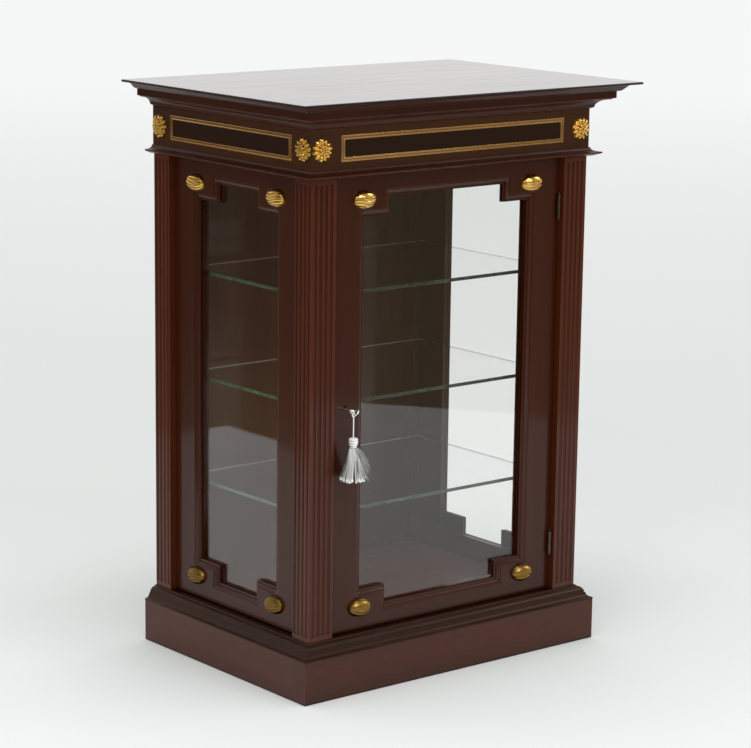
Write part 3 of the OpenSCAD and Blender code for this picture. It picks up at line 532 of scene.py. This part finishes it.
class Parts:
    """Collects grids of points as one mesh, with values that its materials read."""

    def __init__(self):
        self.points, self.faces, self.values, self.count = [], [], {}, 0

    def grid(self, points, closed=False, caps=(), **values):
        """Adds a grid of points in mm, each row a ring. closed joins the last row to the first, and caps
        closes the first (0) or last (-1) row with one face."""
        rows, columns = points.shape[:2]
        self.points.append(points.reshape(-1, 3))
        self.faces += (quads(rows, columns, closed) + self.count).tolist()
        for row in caps:
            self.faces.append((np.arange(columns) + self.count + (row % rows) * columns).tolist())
        for key, value in values.items():
            value = np.asarray(value, float)
            size = value.shape[-1] if key == "tint" else 1
            shape = (rows, columns, size) if key == "tint" else (rows, columns)
            self.values.setdefault(key, []).append(np.broadcast_to(value, shape).reshape(-1, size))
        self.count += rows * columns

    def piece(self, name, node, finish):
        """The collected grids as one closed piece that stands for a node."""
        mesh = bpy.data.meshes.new(name)
        mesh.from_pydata((np.concatenate(self.points) * MM).tolist(), [], self.faces)
        for key, value in self.values.items():
            value = np.concatenate(value)
            kind = "FLOAT_COLOR" if value.shape[1] > 1 else "FLOAT"
            layer = mesh.attributes.new(key, kind, "POINT")
            flat = np.ascontiguousarray(value, np.float32).ravel()
            layer.data.foreach_set("color" if kind == "FLOAT_COLOR" else "value", flat)
        mesh.update()
        polish(mesh)
        return stands_for(bpy.data.objects.new(name, mesh), node, [finish])


def ring_frame(line):
    """Two cross directions at each point of a line, carried along it without twist."""
    ahead = np.gradient(line, axis=0)
    ahead /= np.linalg.norm(ahead, axis=1, keepdims=True)
    first = np.cross(ahead[0], [0.31, 0.87, 0.38])
    sides = [first / np.linalg.norm(first)]
    for direction in ahead[1:]:
        side = sides[-1] - direction * (sides[-1] @ direction)
        sides.append(side / np.linalg.norm(side))
    side = np.array(sides)
    return side, np.cross(ahead, side)


def tube(line, radius, turn):
    """A ring round each point of a line: the two cross directions, times the cosine and the sine of the
    angle, times the radius."""
    side, other = ring_frame(line)
    ring = np.cos(turn)[..., None] * side[:, None] + np.sin(turn)[..., None] * other[:, None]
    return line[:, None] + radius[..., None] * ring


def rope(line, radius, lay, around=18):
    """A laid cord: a circle carried along a line, its radius falling between its two plies, which turn once
    in every lay of its length. It also gives how far each point stands out on its ply, from 0 to 1."""
    run = np.concatenate([[0], np.cumsum(np.linalg.norm(np.diff(line, axis=0), axis=1))])[:, None]
    turn = circle(around)[None, :]
    lobe = np.abs(np.cos((turn * PLIES - TAU * PLIES * run / lay) / 2)) ** 0.7
    return tube(line, radius * (0.72 + 0.28 * lobe), turn), lobe


def dimmed(colour, share):
    """A colour times a share at each point, kept opaque."""
    shade = np.array(colour) * share[..., None]
    shade[..., 3] = 1
    return shade


# Key, cord and tassel, in mm

# The middle of the bow, which is tilted by half a right angle
KEY_AT = np.array([-199.0, -187.0, 436.0])
HALF = math.sqrt(0.5)
KEY_ACROSS, KEY_AHEAD, KEY_UP = np.array([HALF, 0, HALF]), np.array([0, 1.0, 0]), np.array([-HALF, 0, HALF])
BOW_R, BOW_WIDE, BOW_THICK = 4.7, 1.3, 1.25
# Pairs of length and radius of the shank, and of height and length of the bit's outline
SHANK = np.array([
    [4.4, 0.2], [4.6, 1.7], [5.2, 2.5], [5.6, 2.2], [6.0, 2.3], [6.3, 3.2], [6.8, 3.4], [7.6, 3.4],
    [8.1, 3.2], [8.4, 2.4], [8.9, 2.1], [9.6, 2.2], [10.0, 2.8], [10.5, 2.8], [10.9, 2.35], [12.0, 2.3],
    [34.0, 2.3], [42.4, 2.3], [43.0, 1.7], [43.0, 0.2]])
BIT = np.array([
    [0.5, 35.8], [8, 35.8], [8, 37.4], [5.6, 37.4], [5.6, 38.4], [8, 38.4], [8, 40.2], [6.4, 40.2], [6.4, 41],
    [8, 41], [8, 42.2], [0.5, 42.2]])
BIT_THICK = 2.1

LOOP_AT = np.array([-202.32, -187.0, 432.68])
LOOP_R, CORD_R = 2.5, 0.9
CORD_TOP = LOOP_AT - [0, 0, 3.4]
TASSEL_TOP = CORD_TOP - [0, 0, 30.5]
CORD_END = TASSEL_TOP - [0, 0, 16.0]
SILVER, PALE, GREY, DARK = paint(240, 241, 240), paint(253, 253, 251), paint(168, 170, 170), paint(22, 22, 24)

# Pairs of height and radius of the tassel's head, and of the dark core inside its skirt, a dark body that
# stands for the shade among the strands
HEAD = np.array([
    [0, 1.2], [-0.4, 4.2], [-1.2, 6.2], [-2.6, 7.1], [-4.2, 6.6], [-5.2, 6.7], [-6.8, 7.3], [-8.6, 6.5],
    [-9.6, 6.3], [-11, 6.4], [-12.6, 5.2], [-14, 4.8], [-16, 5.2], [-17.4, 6.2], [-19, 6.6], [-21, 6.4],
    [-24, 5.6], [-25, 4.0], [-25.6, 0.6]])
SHADOW_CORE = np.array([[-17.0, 4.0], [-30, 5.5], [-45, 9.0], [-58, 12.5], [-63, 13.5], [-64, 0.5]])
NECK_LOW, NECK_HIGH = -16.0, -11.0
STRANDS, THREADS, STRAYS_FROM = 46, 100, 72
# How far out and how low strands, threads and strays hang, and the radius and the drop at which they start
STRAND_REACH, STRAND_FOOT, STRAND_R, STRAND_DROP = 20.2, 66.0, 4.8, 15.5
THREAD_REACH, STRAY_REACH, THREAD_FOOT, THREAD_R, THREAD_DROP = 20.5, 26.0, 66.8, 5.2, 15.0


def key_piece():
    """A round bow whose tube is carried round a circle, a turned shank from a profile of radius along its
    length, and a warded bit whose outline is drawn out to a plate."""
    parts = Parts()
    u, v = np.meshgrid(circle(56), circle(20), indexing="ij")
    out = (BOW_R + BOW_WIDE * np.cos(v))[..., None]
    bow = KEY_AT + out * (np.cos(u)[..., None] * KEY_ACROSS + np.sin(u)[..., None] * KEY_AHEAD) \
        + (BOW_THICK * np.sin(v))[..., None] * KEY_UP
    parts.grid(bow, closed=True, hollow=0.125 * (1 - np.cos(v)))
    turn = circle(32)
    along, radius = SHANK[:, :1, None], SHANK[:, 1:, None]
    shank = KEY_AT + along * KEY_AHEAD \
        + radius * (np.cos(turn)[None, :, None] * KEY_ACROSS + np.sin(turn)[None, :, None] * KEY_UP)
    grooved = (SHANK[:, 1] < 2.4) & (SHANK[:, 0] < 12)
    parts.grid(shank, caps=(0, -1), hollow=np.where(grooved, 0.6, 0.1)[:, None])
    flat = BIT[None, :, :1] * KEY_ACROSS + BIT[None, :, 1:] * KEY_AHEAD + KEY_AT
    faces = [flat - BIT_THICK / 2 * KEY_UP, flat + BIT_THICK / 2 * KEY_UP]
    parts.grid(np.concatenate(faces), caps=(0, -1), hollow=0.2)
    key = parts.piece("key_turned", "key", "nickel")
    key.data.set_sharp_from_angle(angle=math.radians(50))


def loop_piece():
    """The cord's end laid round the bow of the key: a laid rope on a circle."""
    parts = Parts()
    u = np.linspace(0, TAU, 73)
    line = LOOP_AT + LOOP_R * np.stack([np.cos(u), 0 * u, np.sin(u)], 1)
    points, lobe = rope(line, CORD_R, 3.2)
    # Painted shade darkens the crevices between the plies
    parts.grid(points[:-1], closed=True, tint=dimmed(PALE, 0.7 + 0.3 * lobe)[:-1])
    return parts.piece("tassel_loop_laid", "tassel_loop", "thread")


def cord_piece():
    """The laid cord from its loop down into the tassel's head, in one straight hang, and its middle line."""
    parts = Parts()
    fall = np.linspace(0, 1, 64)[:, None]
    line = CORD_TOP * (1 - fall) + CORD_END * fall
    points, lobe = rope(line, 1.07 * CORD_R, 3.6)
    # Painted shade darkens the crevices between the plies
    parts.grid(points, caps=(0, -1), tint=dimmed(PALE, 0.86 + 0.14 * lobe))
    return parts.piece("tassel_cord_laid", "tassel_cord", "thread"), line * MM


def round_axis(radius, turn, height):
    """Points at a radius, an angle and a height on the tassel's axis."""
    radius, turn, height = np.broadcast_arrays(radius, turn, height)
    return TASSEL_TOP + np.stack([radius * np.cos(turn), radius * np.sin(turn), height], -1)


def wind_head(parts):
    """The head: a turned profile whose radius falls between loops of thread down it, and between turns of
    thread round its neck, both absolute sines of height and angle. Painted shade darkens its grooves, and
    three bars of painted shade show on its left, where shadow falls between the coils."""
    turn = circle(56)
    height = np.linspace(0, HEAD[-1, 0], 120)
    radius = np.interp(-height, -HEAD[:, 0], HEAD[:, 1])[:, None]
    height = height[:, None]
    loops = np.abs(np.sin(turn * 11 + height * 0.55))
    wound = np.abs(np.sin(height * 3.4 + turn * 0.5))
    groove = np.where((height < NECK_HIGH) & (height > NECK_LOW), wound, loops)
    away = np.abs(height[..., None] - np.array([-4.4, -8.6, -12.6]))
    shade_bars = np.clip(1.4 - away / 0.55, 0, 1).max(-1) * np.clip(1.6 * np.cos(turn - 2.9), 0, 1)
    # The tint is painted shade: darker in the grooves and in three bars on the left
    parts.grid(round_axis(radius * (0.93 + 0.07 * groove ** 0.6), turn, height), caps=(0, -1),
               tint=dimmed(PALE, (0.6 + 0.4 * groove ** 0.5) * (1 - 0.9 * shade_bars)))
    # The core's dark colour is painted shade among the strands
    parts.grid(round_axis(SHADOW_CORE[:, 1:], turn, SHADOW_CORE[:, :1]), caps=(0, -1), tint=np.array(DARK))


def hang_strands(parts, rng):
    """Twisted strands that leave the neck and flare as a power of their fall, with a slight sway. Every
    fourth is shaded dark, painted shade darkens the crevices of each strand's plies, and all end pale in a
    painted highlight."""
    fall = np.linspace(0, 1, 60)
    for index in range(STRANDS):
        reach = STRAND_REACH * rng.uniform(0.74, 1.0)
        foot = STRAND_FOOT * rng.uniform(0.95, 1.0)
        out = STRAND_R + (reach - STRAND_R) * fall ** 1.05 + 0.4 * np.sin(fall * 9 + index)
        angle = TAU * (index * GOLDEN % 1.0)
        sweep = angle + rng.normal(0, 0.06) * fall + 0.02 * np.sin(fall * 11 + 2 * index)
        line = round_axis(out, sweep, -STRAND_DROP - (foot - STRAND_DROP) * fall)
        thick = rng.uniform(0.78, 1.0) * (1 + 0.4 * fall[:, None] ** 4)
        points, lobe = rope(line, thick, rng.uniform(4.4, 5.4), around=8)
        ply = (0.1, 0.7, 1.0, 1.0)[index % 4]
        # Painted shade in the crevices of the plies, and a painted highlight at the foot
        lit = np.maximum(ply * (0.25 + 0.75 * lobe ** 1.4), np.clip(fall[:, None] * 12 - 10.4, 0, 1))
        parts.grid(points, caps=(0, -1), tint=dimmed(PALE, lit))


def hang_threads(parts, rng):
    """Fine threads of a flattened section that spins as they fall: most hang among the strands, and the
    last ones stray out in front. Painted shade follows each thread's twist, and a painted highlight lights
    its foot."""
    fall = np.linspace(0, 1, 12)
    for index in range(THREADS):
        stray = index >= STRAYS_FROM
        if stray:
            angle = rng.normal(-0.68, 0.55)
            reach = STRAY_REACH * rng.uniform(0.8, 1.0)
            foot = THREAD_FOOT * rng.uniform(0.5, 1.0)
            flare, sway, wander = 0.7, 0.9, 0.07
        else:
            angle = TAU * (index * GOLDEN % 1.0)
            reach = THREAD_REACH * rng.uniform(0.62, 1.0)
            foot = THREAD_FOOT * rng.uniform(0.94, 1.0)
            flare, sway, wander = 1.1, 0.35, 0.02
        out = THREAD_R + (reach - THREAD_R) * fall ** flare + sway * np.sin(fall * 11 + index)
        sweep = angle + rng.normal(0, 0.05) * fall + wander * np.sin(fall * 13 + index)
        line = round_axis(out, sweep, -THREAD_DROP - (foot - THREAD_DROP) * fall)
        spin = circle(4)[None, :] + (fall * rng.uniform(8, 15))[:, None]
        thick = 0.27 if stray else rng.uniform(0.3, 0.45)
        radius = thick * (1 - 0.15 * fall[:, None]) * (0.78 + 0.22 * np.cos(2 * spin))
        base = (PALE, SILVER, GREY, DARK)[rng.choice(4, p=[0.4, 0.2, 0.2, 0.2])]
        # Painted shade that follows the thread's twist, and a painted highlight at its foot
        twist = 0.5 + 0.5 * np.cos(fall[:, None] * rng.uniform(26, 40) + np.arange(4)[None, :] * 1.57 + index)
        lit = np.maximum(0.42 + 0.58 * twist, np.clip(fall[:, None] * 8 - 7, 0, 1))
        parts.grid(tube(line, radius, spin), caps=(0, -1), tint=dimmed(base, lit))


def tassel_piece():
    """A wound head over a skirt of twisted strands and finer threads round a dark core, which stands for the
    shade inside the skirt.
    """
    parts = Parts()
    rng = np.random.default_rng(7)
    wind_head(parts)
    hang_strands(parts, rng)
    hang_threads(parts, rng)
    return parts.piece("tassel_threads", "tassel", "thread")


key_piece()
tassel_threads = tassel_piece()
loop_laid = loop_piece()
cord_laid, cord_line = cord_piece()


# Gilt mounts, in mm

# A boss: half its length and height, its rise, its straps' spacing and the depth of the cuts between them
BOSS_WIDE, BOSS_TALL, BOSS_RISE, STRAP_GAP, CUT = 21.6, 14.4, 12, 6.0, 1.7
ROSETTE_R, ROSETTE_TOP, EYE_SHARE = 18.9, 8.95, 0.25
# Where bosses and rosettes are set across, along the sides and up, and the height between the bosses
BOSS_X, SIDE_BOSS_Y, BOSS_Z, MIDWAY = (-165.5, 165.5), (-72, 132), (748, 124), 400
ROSETTE_X, SIDE_ROSETTE_Y = (-254, 254), (-153, 211)
# How far the rims of bosses and rosettes are let into the wood
BOSS_SUNK, ROSETTE_SUNK = 1.0, 0.6
# Rings of leaves: how many, where they start and end as shares of the radius, and their lowest and highest
LEAF_RINGS = ((12, 0.36, 1.0, 1.2, 5.6), (8, 0.16, 0.56, 3.8, 8.2))
# Pairs of a place across the inlaid band, inwards from its outer edge, and its height
BAND = np.array([
    [0.0, -0.9], [0.0, 0.3], [0.25, 0.58], [0.9, 0.7], [1.6, 0.62], [2.1, 0.34], [2.5, 0.2], [4.0, 0.2],
    [4.4, 0.34], [4.9, 0.62], [5.6, 0.7], [6.25, 0.58], [6.5, 0.3], [6.5, -0.9]])
CORNERS = np.array([[-1, -1], [1, -1], [1, 1], [-1, 1]])


def out_of(side):
    """The outward direction of the front (0), the left (-1) or the right (1)."""
    return np.array([0, -1.0, 0]) if side == 0 else np.array([1.0 * side, 0, 0])


def on_face(centre, side, x, z, out):
    """Points x across, z up and out from a centre on the front (0), the left (-1) or the right (1)."""
    across = np.array([1.0, 0, 0]) if side == 0 else np.array([0, -1.0 * side, 0])
    up = np.array([0, 0, 1.0])
    return np.array(centre) + x[..., None] * across + z[..., None] * up + out[..., None] * out_of(side)


def boss(parts, centre, side, phase, crown_from, dull):
    """An oval dome: its height is the root of one less a power of the share of the way to the rim, under
    lengthwise straps, which are the absolute sine of the height across, bent along the length and fading over
    the smooth crown."""
    share = np.linspace(0, 1, 34)[:, None] ** 0.8
    turn = circle(84)[None, :]
    x, z = BOSS_WIDE * share * np.cos(turn), BOSS_TALL * share * np.sin(turn)
    dome = np.sqrt(np.clip(1 - share ** 2.5, 0, 1)) + 0 * turn
    bent = z + 1.5 * np.sin(x / 6.8 + phase) + 0.5 * np.sin(x / 2.9 + 2 * phase) - 2.6 * (x / 20) ** 2
    strap = np.abs(np.sin(math.pi * bent / STRAP_GAP)) ** 0.6
    crown = np.clip((z + 4 - crown_from) / 6.0, 0, 1)
    depth = CUT * (1 - 0.9 * crown * crown * (3 - 2 * crown))
    out = np.maximum(BOSS_RISE * dome - depth * (1 - strap) * np.sqrt(dome), 0)
    points = on_face(centre, side, x, z, out)
    rim = points[-1:] - BOSS_SUNK * out_of(side)
    # dull darkens all of a lower boss: painted shade, over the tarnish in its cuts
    hollow = np.maximum(np.clip((1 - strap) * (depth / CUT), 0, 1) ** 1.3, dull)
    parts.grid(np.concatenate([points, rim]), caps=(-1,),
               hollow=np.concatenate([hollow, np.ones_like(hollow[-1:])]))


def rosette(parts, centre, side, seed):
    """Two rings of curled leaves round a seeded eye: over each ring the height is a leaf's arch across its
    width times its rise to a rolled tip, and the higher ring shows."""
    rng = np.random.default_rng(seed)
    share = np.linspace(0, 1, 52)[:, None]
    turn = circle(176)[None, :]
    height = np.full((share.size, turn.size), 0.6)
    hollow = np.ones_like(height)
    for leaves, start, tip, low, high in LEAF_RINGS:
        place = turn * leaves / TAU + rng.uniform(0, 1)
        number = np.floor(place).astype(int) % leaves
        away = (place - np.floor(place) - 0.5) * 2
        reach = tip * (1 - rng.uniform(0, 0.1, leaves)[number]) * (1 - 0.26 * np.abs(away) ** 2.4)
        lift = rng.uniform(0.82, 1.0, leaves)[number]
        lean = rng.uniform(-0.35, 0.35, leaves)[number]
        along = np.clip((share - start) / np.maximum(reach - start, 0.05), 0, 1)
        arch = np.clip(1 - np.abs(away) ** 2.6, 0, 1) ** 0.5
        vein = np.exp(-((away - lean * 0.4) / 0.16) ** 2) * 0.32
        rise = np.sin(along * math.pi * 0.8 + 0.35)
        leaf = low + (high - low) * lift * arch * (rise + 0.18 * lean * away)
        leaf -= vein * 2.0 * np.sin(along * math.pi)
        leaf = np.where((share <= reach) & (share >= start * 0.9), leaf, 0)
        shows = leaf > height
        height = np.where(shows, leaf, height)
        hollow = np.where(shows, np.clip(0.58 - arch * (0.55 + 0.6 * along) + vein, 0, 1), hollow)
    eye = np.sqrt(np.clip(1 - (share / EYE_SHARE) ** 2, 0, 1))
    seeds = np.abs(np.sin(turn * 4 + 1)) * np.abs(np.sin(share * 26)) * 1.1
    middle = 4.2 + 3.4 * eye + seeds * (eye > 0.1)
    height = np.where((eye > 0) & (middle > height), middle, height)
    hollow = np.where(eye > 0, np.clip(0.8 - seeds, 0, 1), hollow)
    height = np.minimum(height, ROSETTE_TOP)
    waved = 1 - 0.05 * (0.5 + 0.5 * np.cos(turn * 11 + seed))
    x, z = ROSETTE_R * share * np.cos(turn) * waved, ROSETTE_R * share * np.sin(turn) * waved
    points = on_face(centre, side, x, z, height)
    rim = points[-1:] - (height[-1:] + ROSETTE_SUNK)[..., None] * out_of(side)
    parts.grid(np.concatenate([points, rim]), caps=(-1,), hollow=np.concatenate([hollow, hollow[-1:]]))


def inlay_band(parts, centre, half_length, side):
    """A brass band let in round a rectangle: a profile of two round beads with a hollow between them, carried
    round four mitred corners."""
    x = CORNERS[None, :, 0] * (half_length - BAND[:, :1])
    z = CORNERS[None, :, 1] * (BAND_TALL - BAND[:, :1])
    height = BAND[:, 1:]
    parts.grid(on_face(centre, side, x, z, height), closed=True, hollow=np.clip(1 - height / 0.55, 0, 1))


def bosses(name, node, places, crown_from, shaded_below):
    """All bosses of one node. The lower ones are darker by painted shade, and the straps fade above about
    crown_from.
    """
    parts = Parts()
    for index, (centre, side) in enumerate(places):
        boss(parts, centre, side, 1.3 * index + 0.4, crown_from, shaded_below if centre[2] < MIDWAY else 0.0)
    parts.piece(name, node, "gilt")


def inlay(name, node):
    """The three bands of the frieze."""
    parts = Parts()
    inlay_band(parts, (0, FRIEZE_FRONT, FRIEZE_MIDDLE), FRONT_BAND, 0)
    for side in (-1, 1):
        inlay_band(parts, (side * FRIEZE_SIDE, SIDE_MIDDLE, FRIEZE_MIDDLE), SIDE_BAND, side)
    parts.piece(name, node, "inlay").data.set_sharp_from_angle(angle=math.radians(40))


def rosettes(name, node, places):
    """All rosettes of the frieze, each with a seed of its own."""
    parts = Parts()
    for seed, (centre, side) in enumerate(places, 3):
        rosette(parts, centre, side, seed)
    parts.piece(name, node, "gilt")


bosses("door_bosses_chased", "door_bosses",
       [((x, DOOR_FACE, z), 0) for x in BOSS_X for z in BOSS_Z],
       crown_from=1.5, shaded_below=0.8)
bosses("side_bosses_chased", "side_bosses",
       [((side * SIDE_FACE, y, z), side) for side in (-1, 1) for y in SIDE_BOSS_Y for z in BOSS_Z],
       crown_from=9, shaded_below=0.88)
inlay("frieze_inlay_beaded", "frieze_inlay")
rosettes("frieze_rosettes_chased", "frieze_rosettes",
         [((x, FRIEZE_FRONT, FRIEZE_MIDDLE), 0) for x in ROSETTE_X]
         + [((side * FRIEZE_SIDE, y, FRIEZE_MIDDLE), side) for side in (-1, 1) for y in SIDE_ROSETTE_Y])


# Woodwork: rounding in mm, finish, slot, shortest edge that is rounded in mm, nodes

WOODWORK = [
    (1.2, "plinth_across", "mahogany", 4, ["plinth_front"]),
    (1.2, "plinth_deep", "mahogany", 4, ["plinth_left", "plinth_right"]),
    (1.0, "pine", "secondary_wood", 4, ["plinth_back"]),
    (0.6, "floor", "mahogany", 8, ["base_board"]),
    (0.5, "base", "mahogany_moulding", 30, ["base_moulding"]),
    (0.45, "upright", "mahogany", 6,
     ["front_left_column", "front_right_column", "rear_left_column", "rear_right_column"]),
    (0.3, "frame_upright", "mahogany", 8,
     ["left_front_stile", "left_rear_stile", "right_front_stile", "right_rear_stile"]),
    (0.3, "frame_deep", "mahogany", 8,
     ["left_top_rail", "left_bottom_rail", "right_top_rail", "right_bottom_rail"]),
    (0.35, "frame_deep", "mahogany_moulding", 6, ["side_corner_blocks"]),
    (0.3, "frame_upright", "mahogany", 8, ["door_lock_stile", "door_hinge_stile"]),
    (0.3, "frame_across", "mahogany", 8, ["door_top_rail", "door_bottom_rail"]),
    (0.35, "frame_across", "mahogany_moulding", 6, ["door_corner_blocks"]),
    (0.5, "across", "mahogany", 8, ["carcase_top"]),
    (0.5, "moulding", "mahogany_moulding", 30, ["string_moulding"]),
    (0.6, "frieze_across", "mahogany", 12, ["frieze_front"]),
    (0.6, "frieze_deep", "mahogany", 12, ["frieze_left", "frieze_right"]),
    (0.5, "moulding", "mahogany_moulding", 30, ["cornice_moulding"]),
]
for rounding, its_finish, its_slot, shortest_edge, its_nodes in WOODWORK:
    for each in its_nodes:
        eased(each, rounding, its_finish, shortest_edge)

eased("top_board", 0.7, "top", 30, edge_finish="lip")
for leaves_of in ("hinge_frame_leaves", "hinge_door_leaves"):
    eased(leaves_of, 0.25, "hinge", 2)
for shelf in ("lower_shelf", "middle_shelf", "upper_shelf"):
    eased(shelf, 0.4, "pane", 3, edge_finish="edge", flat=True)

# Nodes that keep their own mesh, under each finish
CARRIED = {
    "frame_upright": ["side_glazing_beads", "door_glazing_beads"],
    "pine": ["plinth_glue_blocks", "frieze_rear_rail"],
    "back": ["back_panel"],
    "steel": ["back_panel_screws", "hinge_frame_screws", "hinge_door_screws"],
    "pane": ["left_glass", "right_glass", "door_glass"],
    "pin": ["shelf_pins", "strike_plate", "lock_case", "lock_bolt"],
    "hinge": ["hinge_pins"],
}
for its_finish, its_nodes in CARRIED.items():
    for each in its_nodes:
        held = NODES[each].data.materials
        held.clear()
        held.append(FINISH[its_finish])


# Floor, world and lamps, in metres

FLOOR_REACH, FLOOR_DROP = 60.0, 2e-4
EVEN_LIGHT = (0.93, 0.935, 0.935, 1)
# The level direction to the rear, in which the sweep runs
REARWARD = (0.63, 0.77)
# Directions of the two round lights that mirrors see
ROUND_LIGHTS = ((-0.13, -0.74, 0.66), (0.76, -0.39, 0.50))


def floor_material():
    """A pale studio floor that shows dark to mirror rays beyond the edges of its lit sweep, as a room behind
    the lamps does."""
    made, tree, shader, place = material("studio_floor")
    axis = axes(tree, place)
    far_left = spread(tree, axis["X"], -1.23, -1.21, 1.0, 0.0)
    rear_left = maths(tree, "MULTIPLY", spread(tree, axis["Y"], 1.4, 1.42),
                      spread(tree, axis["X"], -0.6, -0.5, 1.0, 0.0))
    far_left = maths(tree, "MAXIMUM", far_left, rear_left)
    far_right = spread(tree, along_floor(tree, axis, 0.802, -0.597), 1.9, 1.92)
    ray = add(tree, "ShaderNodeLightPath").outputs
    behind = along_floor(tree, axis, *REARWARD)
    sweep = blend(tree, spread(tree, behind, -0.5, 0.9), paint(244, 246, 245), paint(226, 229, 227))
    sweep = blend(tree, spread(tree, behind, 1.6, 9.0), sweep, paint(253, 255, 254))
    sweep = blend(tree, ray["Is Transmission Ray"], sweep, paint(242, 245, 243))
    left_room = blend(tree, spread(tree, axis["X"], -1.9, -1.3), paint(100, 84, 68), paint(130, 112, 84))
    room = blend(tree, far_left, paint(138, 126, 104), left_room)
    beyond = maths(tree, "MAXIMUM", far_left, far_right)
    colour = blend(tree, maths(tree, "MULTIPLY", beyond, ray["Is Glossy Ray"]), sweep, room)
    feed(tree, shader, Base_Color=colour, Roughness=0.9, Specular_IOR_Level=0.0)
    return made


def set_stage():
    """One wide floor just under the plinth."""
    mesh = bpy.data.meshes.new("studio_floor")
    mesh.from_pydata([(FLOOR_REACH * x, FLOOR_REACH * y, -FLOOR_DROP) for x, y in CORNERS.tolist()],
                     [], [(0, 1, 2, 3)])
    floor = bpy.data.objects.new("studio_floor", mesh)
    floor.data.materials.append(floor_material())
    bpy.context.scene.collection.objects.link(floor)


def set_world():
    """Plain light from all round. Mirrors see it bright behind the cabinet and dim behind the viewer, with
    two round lights."""
    world = bpy.data.worlds.new("studio")
    bpy.context.scene.world = world
    world.use_nodes = True
    tree = world.node_tree
    path = add(tree, "ShaderNodeLightPath").outputs
    way = add(tree, "ShaderNodeTexCoord").outputs["Generated"]
    axis = axes(tree, way)
    low = spread(tree, axis["Z"], 0.1, 0.75, 1.0, 0.6)
    behind = along_floor(tree, axis, *REARWARD)
    mirror = maths(tree, "MULTIPLY", spread(tree, behind, -0.35, 0.55, 0.42, 1.0), low)
    direct = maths(tree, "LESS_THAN", path["Diffuse Depth"], 0.5)
    for towards in ROUND_LIGHTS:
        near = add(tree, "ShaderNodeVectorMath", {0: way, 1: towards}, operation="DOT_PRODUCT")
        shine = spread(tree, near.outputs["Value"], 0.965, 0.985, 0.0, 6.0)
        mirror = maths(tree, "MULTIPLY_ADD", shine, direct, mirror)
    mirrored = add(tree, "ShaderNodeCombineColor", {0: mirror, 1: mirror, 2: mirror}).outputs[0]
    plain = blend(tree, path["Is Glossy Ray"], EVEN_LIGHT, mirrored)
    seen = maths(tree, "MAXIMUM", path["Is Camera Ray"], path["Is Transmission Ray"])
    feed(tree, tree.nodes["Background"], Color=blend(tree, seen, plain, paint(236, 238, 238)), Strength=1.0)


def soft_lamp(name, place, aim, size, power):
    """A rectangular softbox at a place, turned to face a point."""
    lamp = bpy.data.lights.new(name, "AREA")
    lamp.shape = "RECTANGLE"
    lamp.size, lamp.size_y = size
    lamp.energy = power
    made = bpy.data.objects.new(name, lamp)
    made.location = place
    made.rotation_mode = "QUATERNION"
    made.rotation_quaternion = (Vector(aim) - Vector(place)).to_track_quat("-Z", "Y")
    bpy.context.scene.collection.objects.link(made)


set_stage()
set_world()
soft_lamp("overhead_softbox", (-0.3, -0.6, 3.2), (0, 0, 0.3), (1.1, 0.6), 13)
soft_lamp("left_softbox", (-2.6, -1.9, 2.9), (0, 0, 0.5), (0.5, 0.8), 7)
soft_lamp("front_softbox", (0.9, -3.4, 2.3), (0, 0, 0.5), (0.8, 0.6), 7)
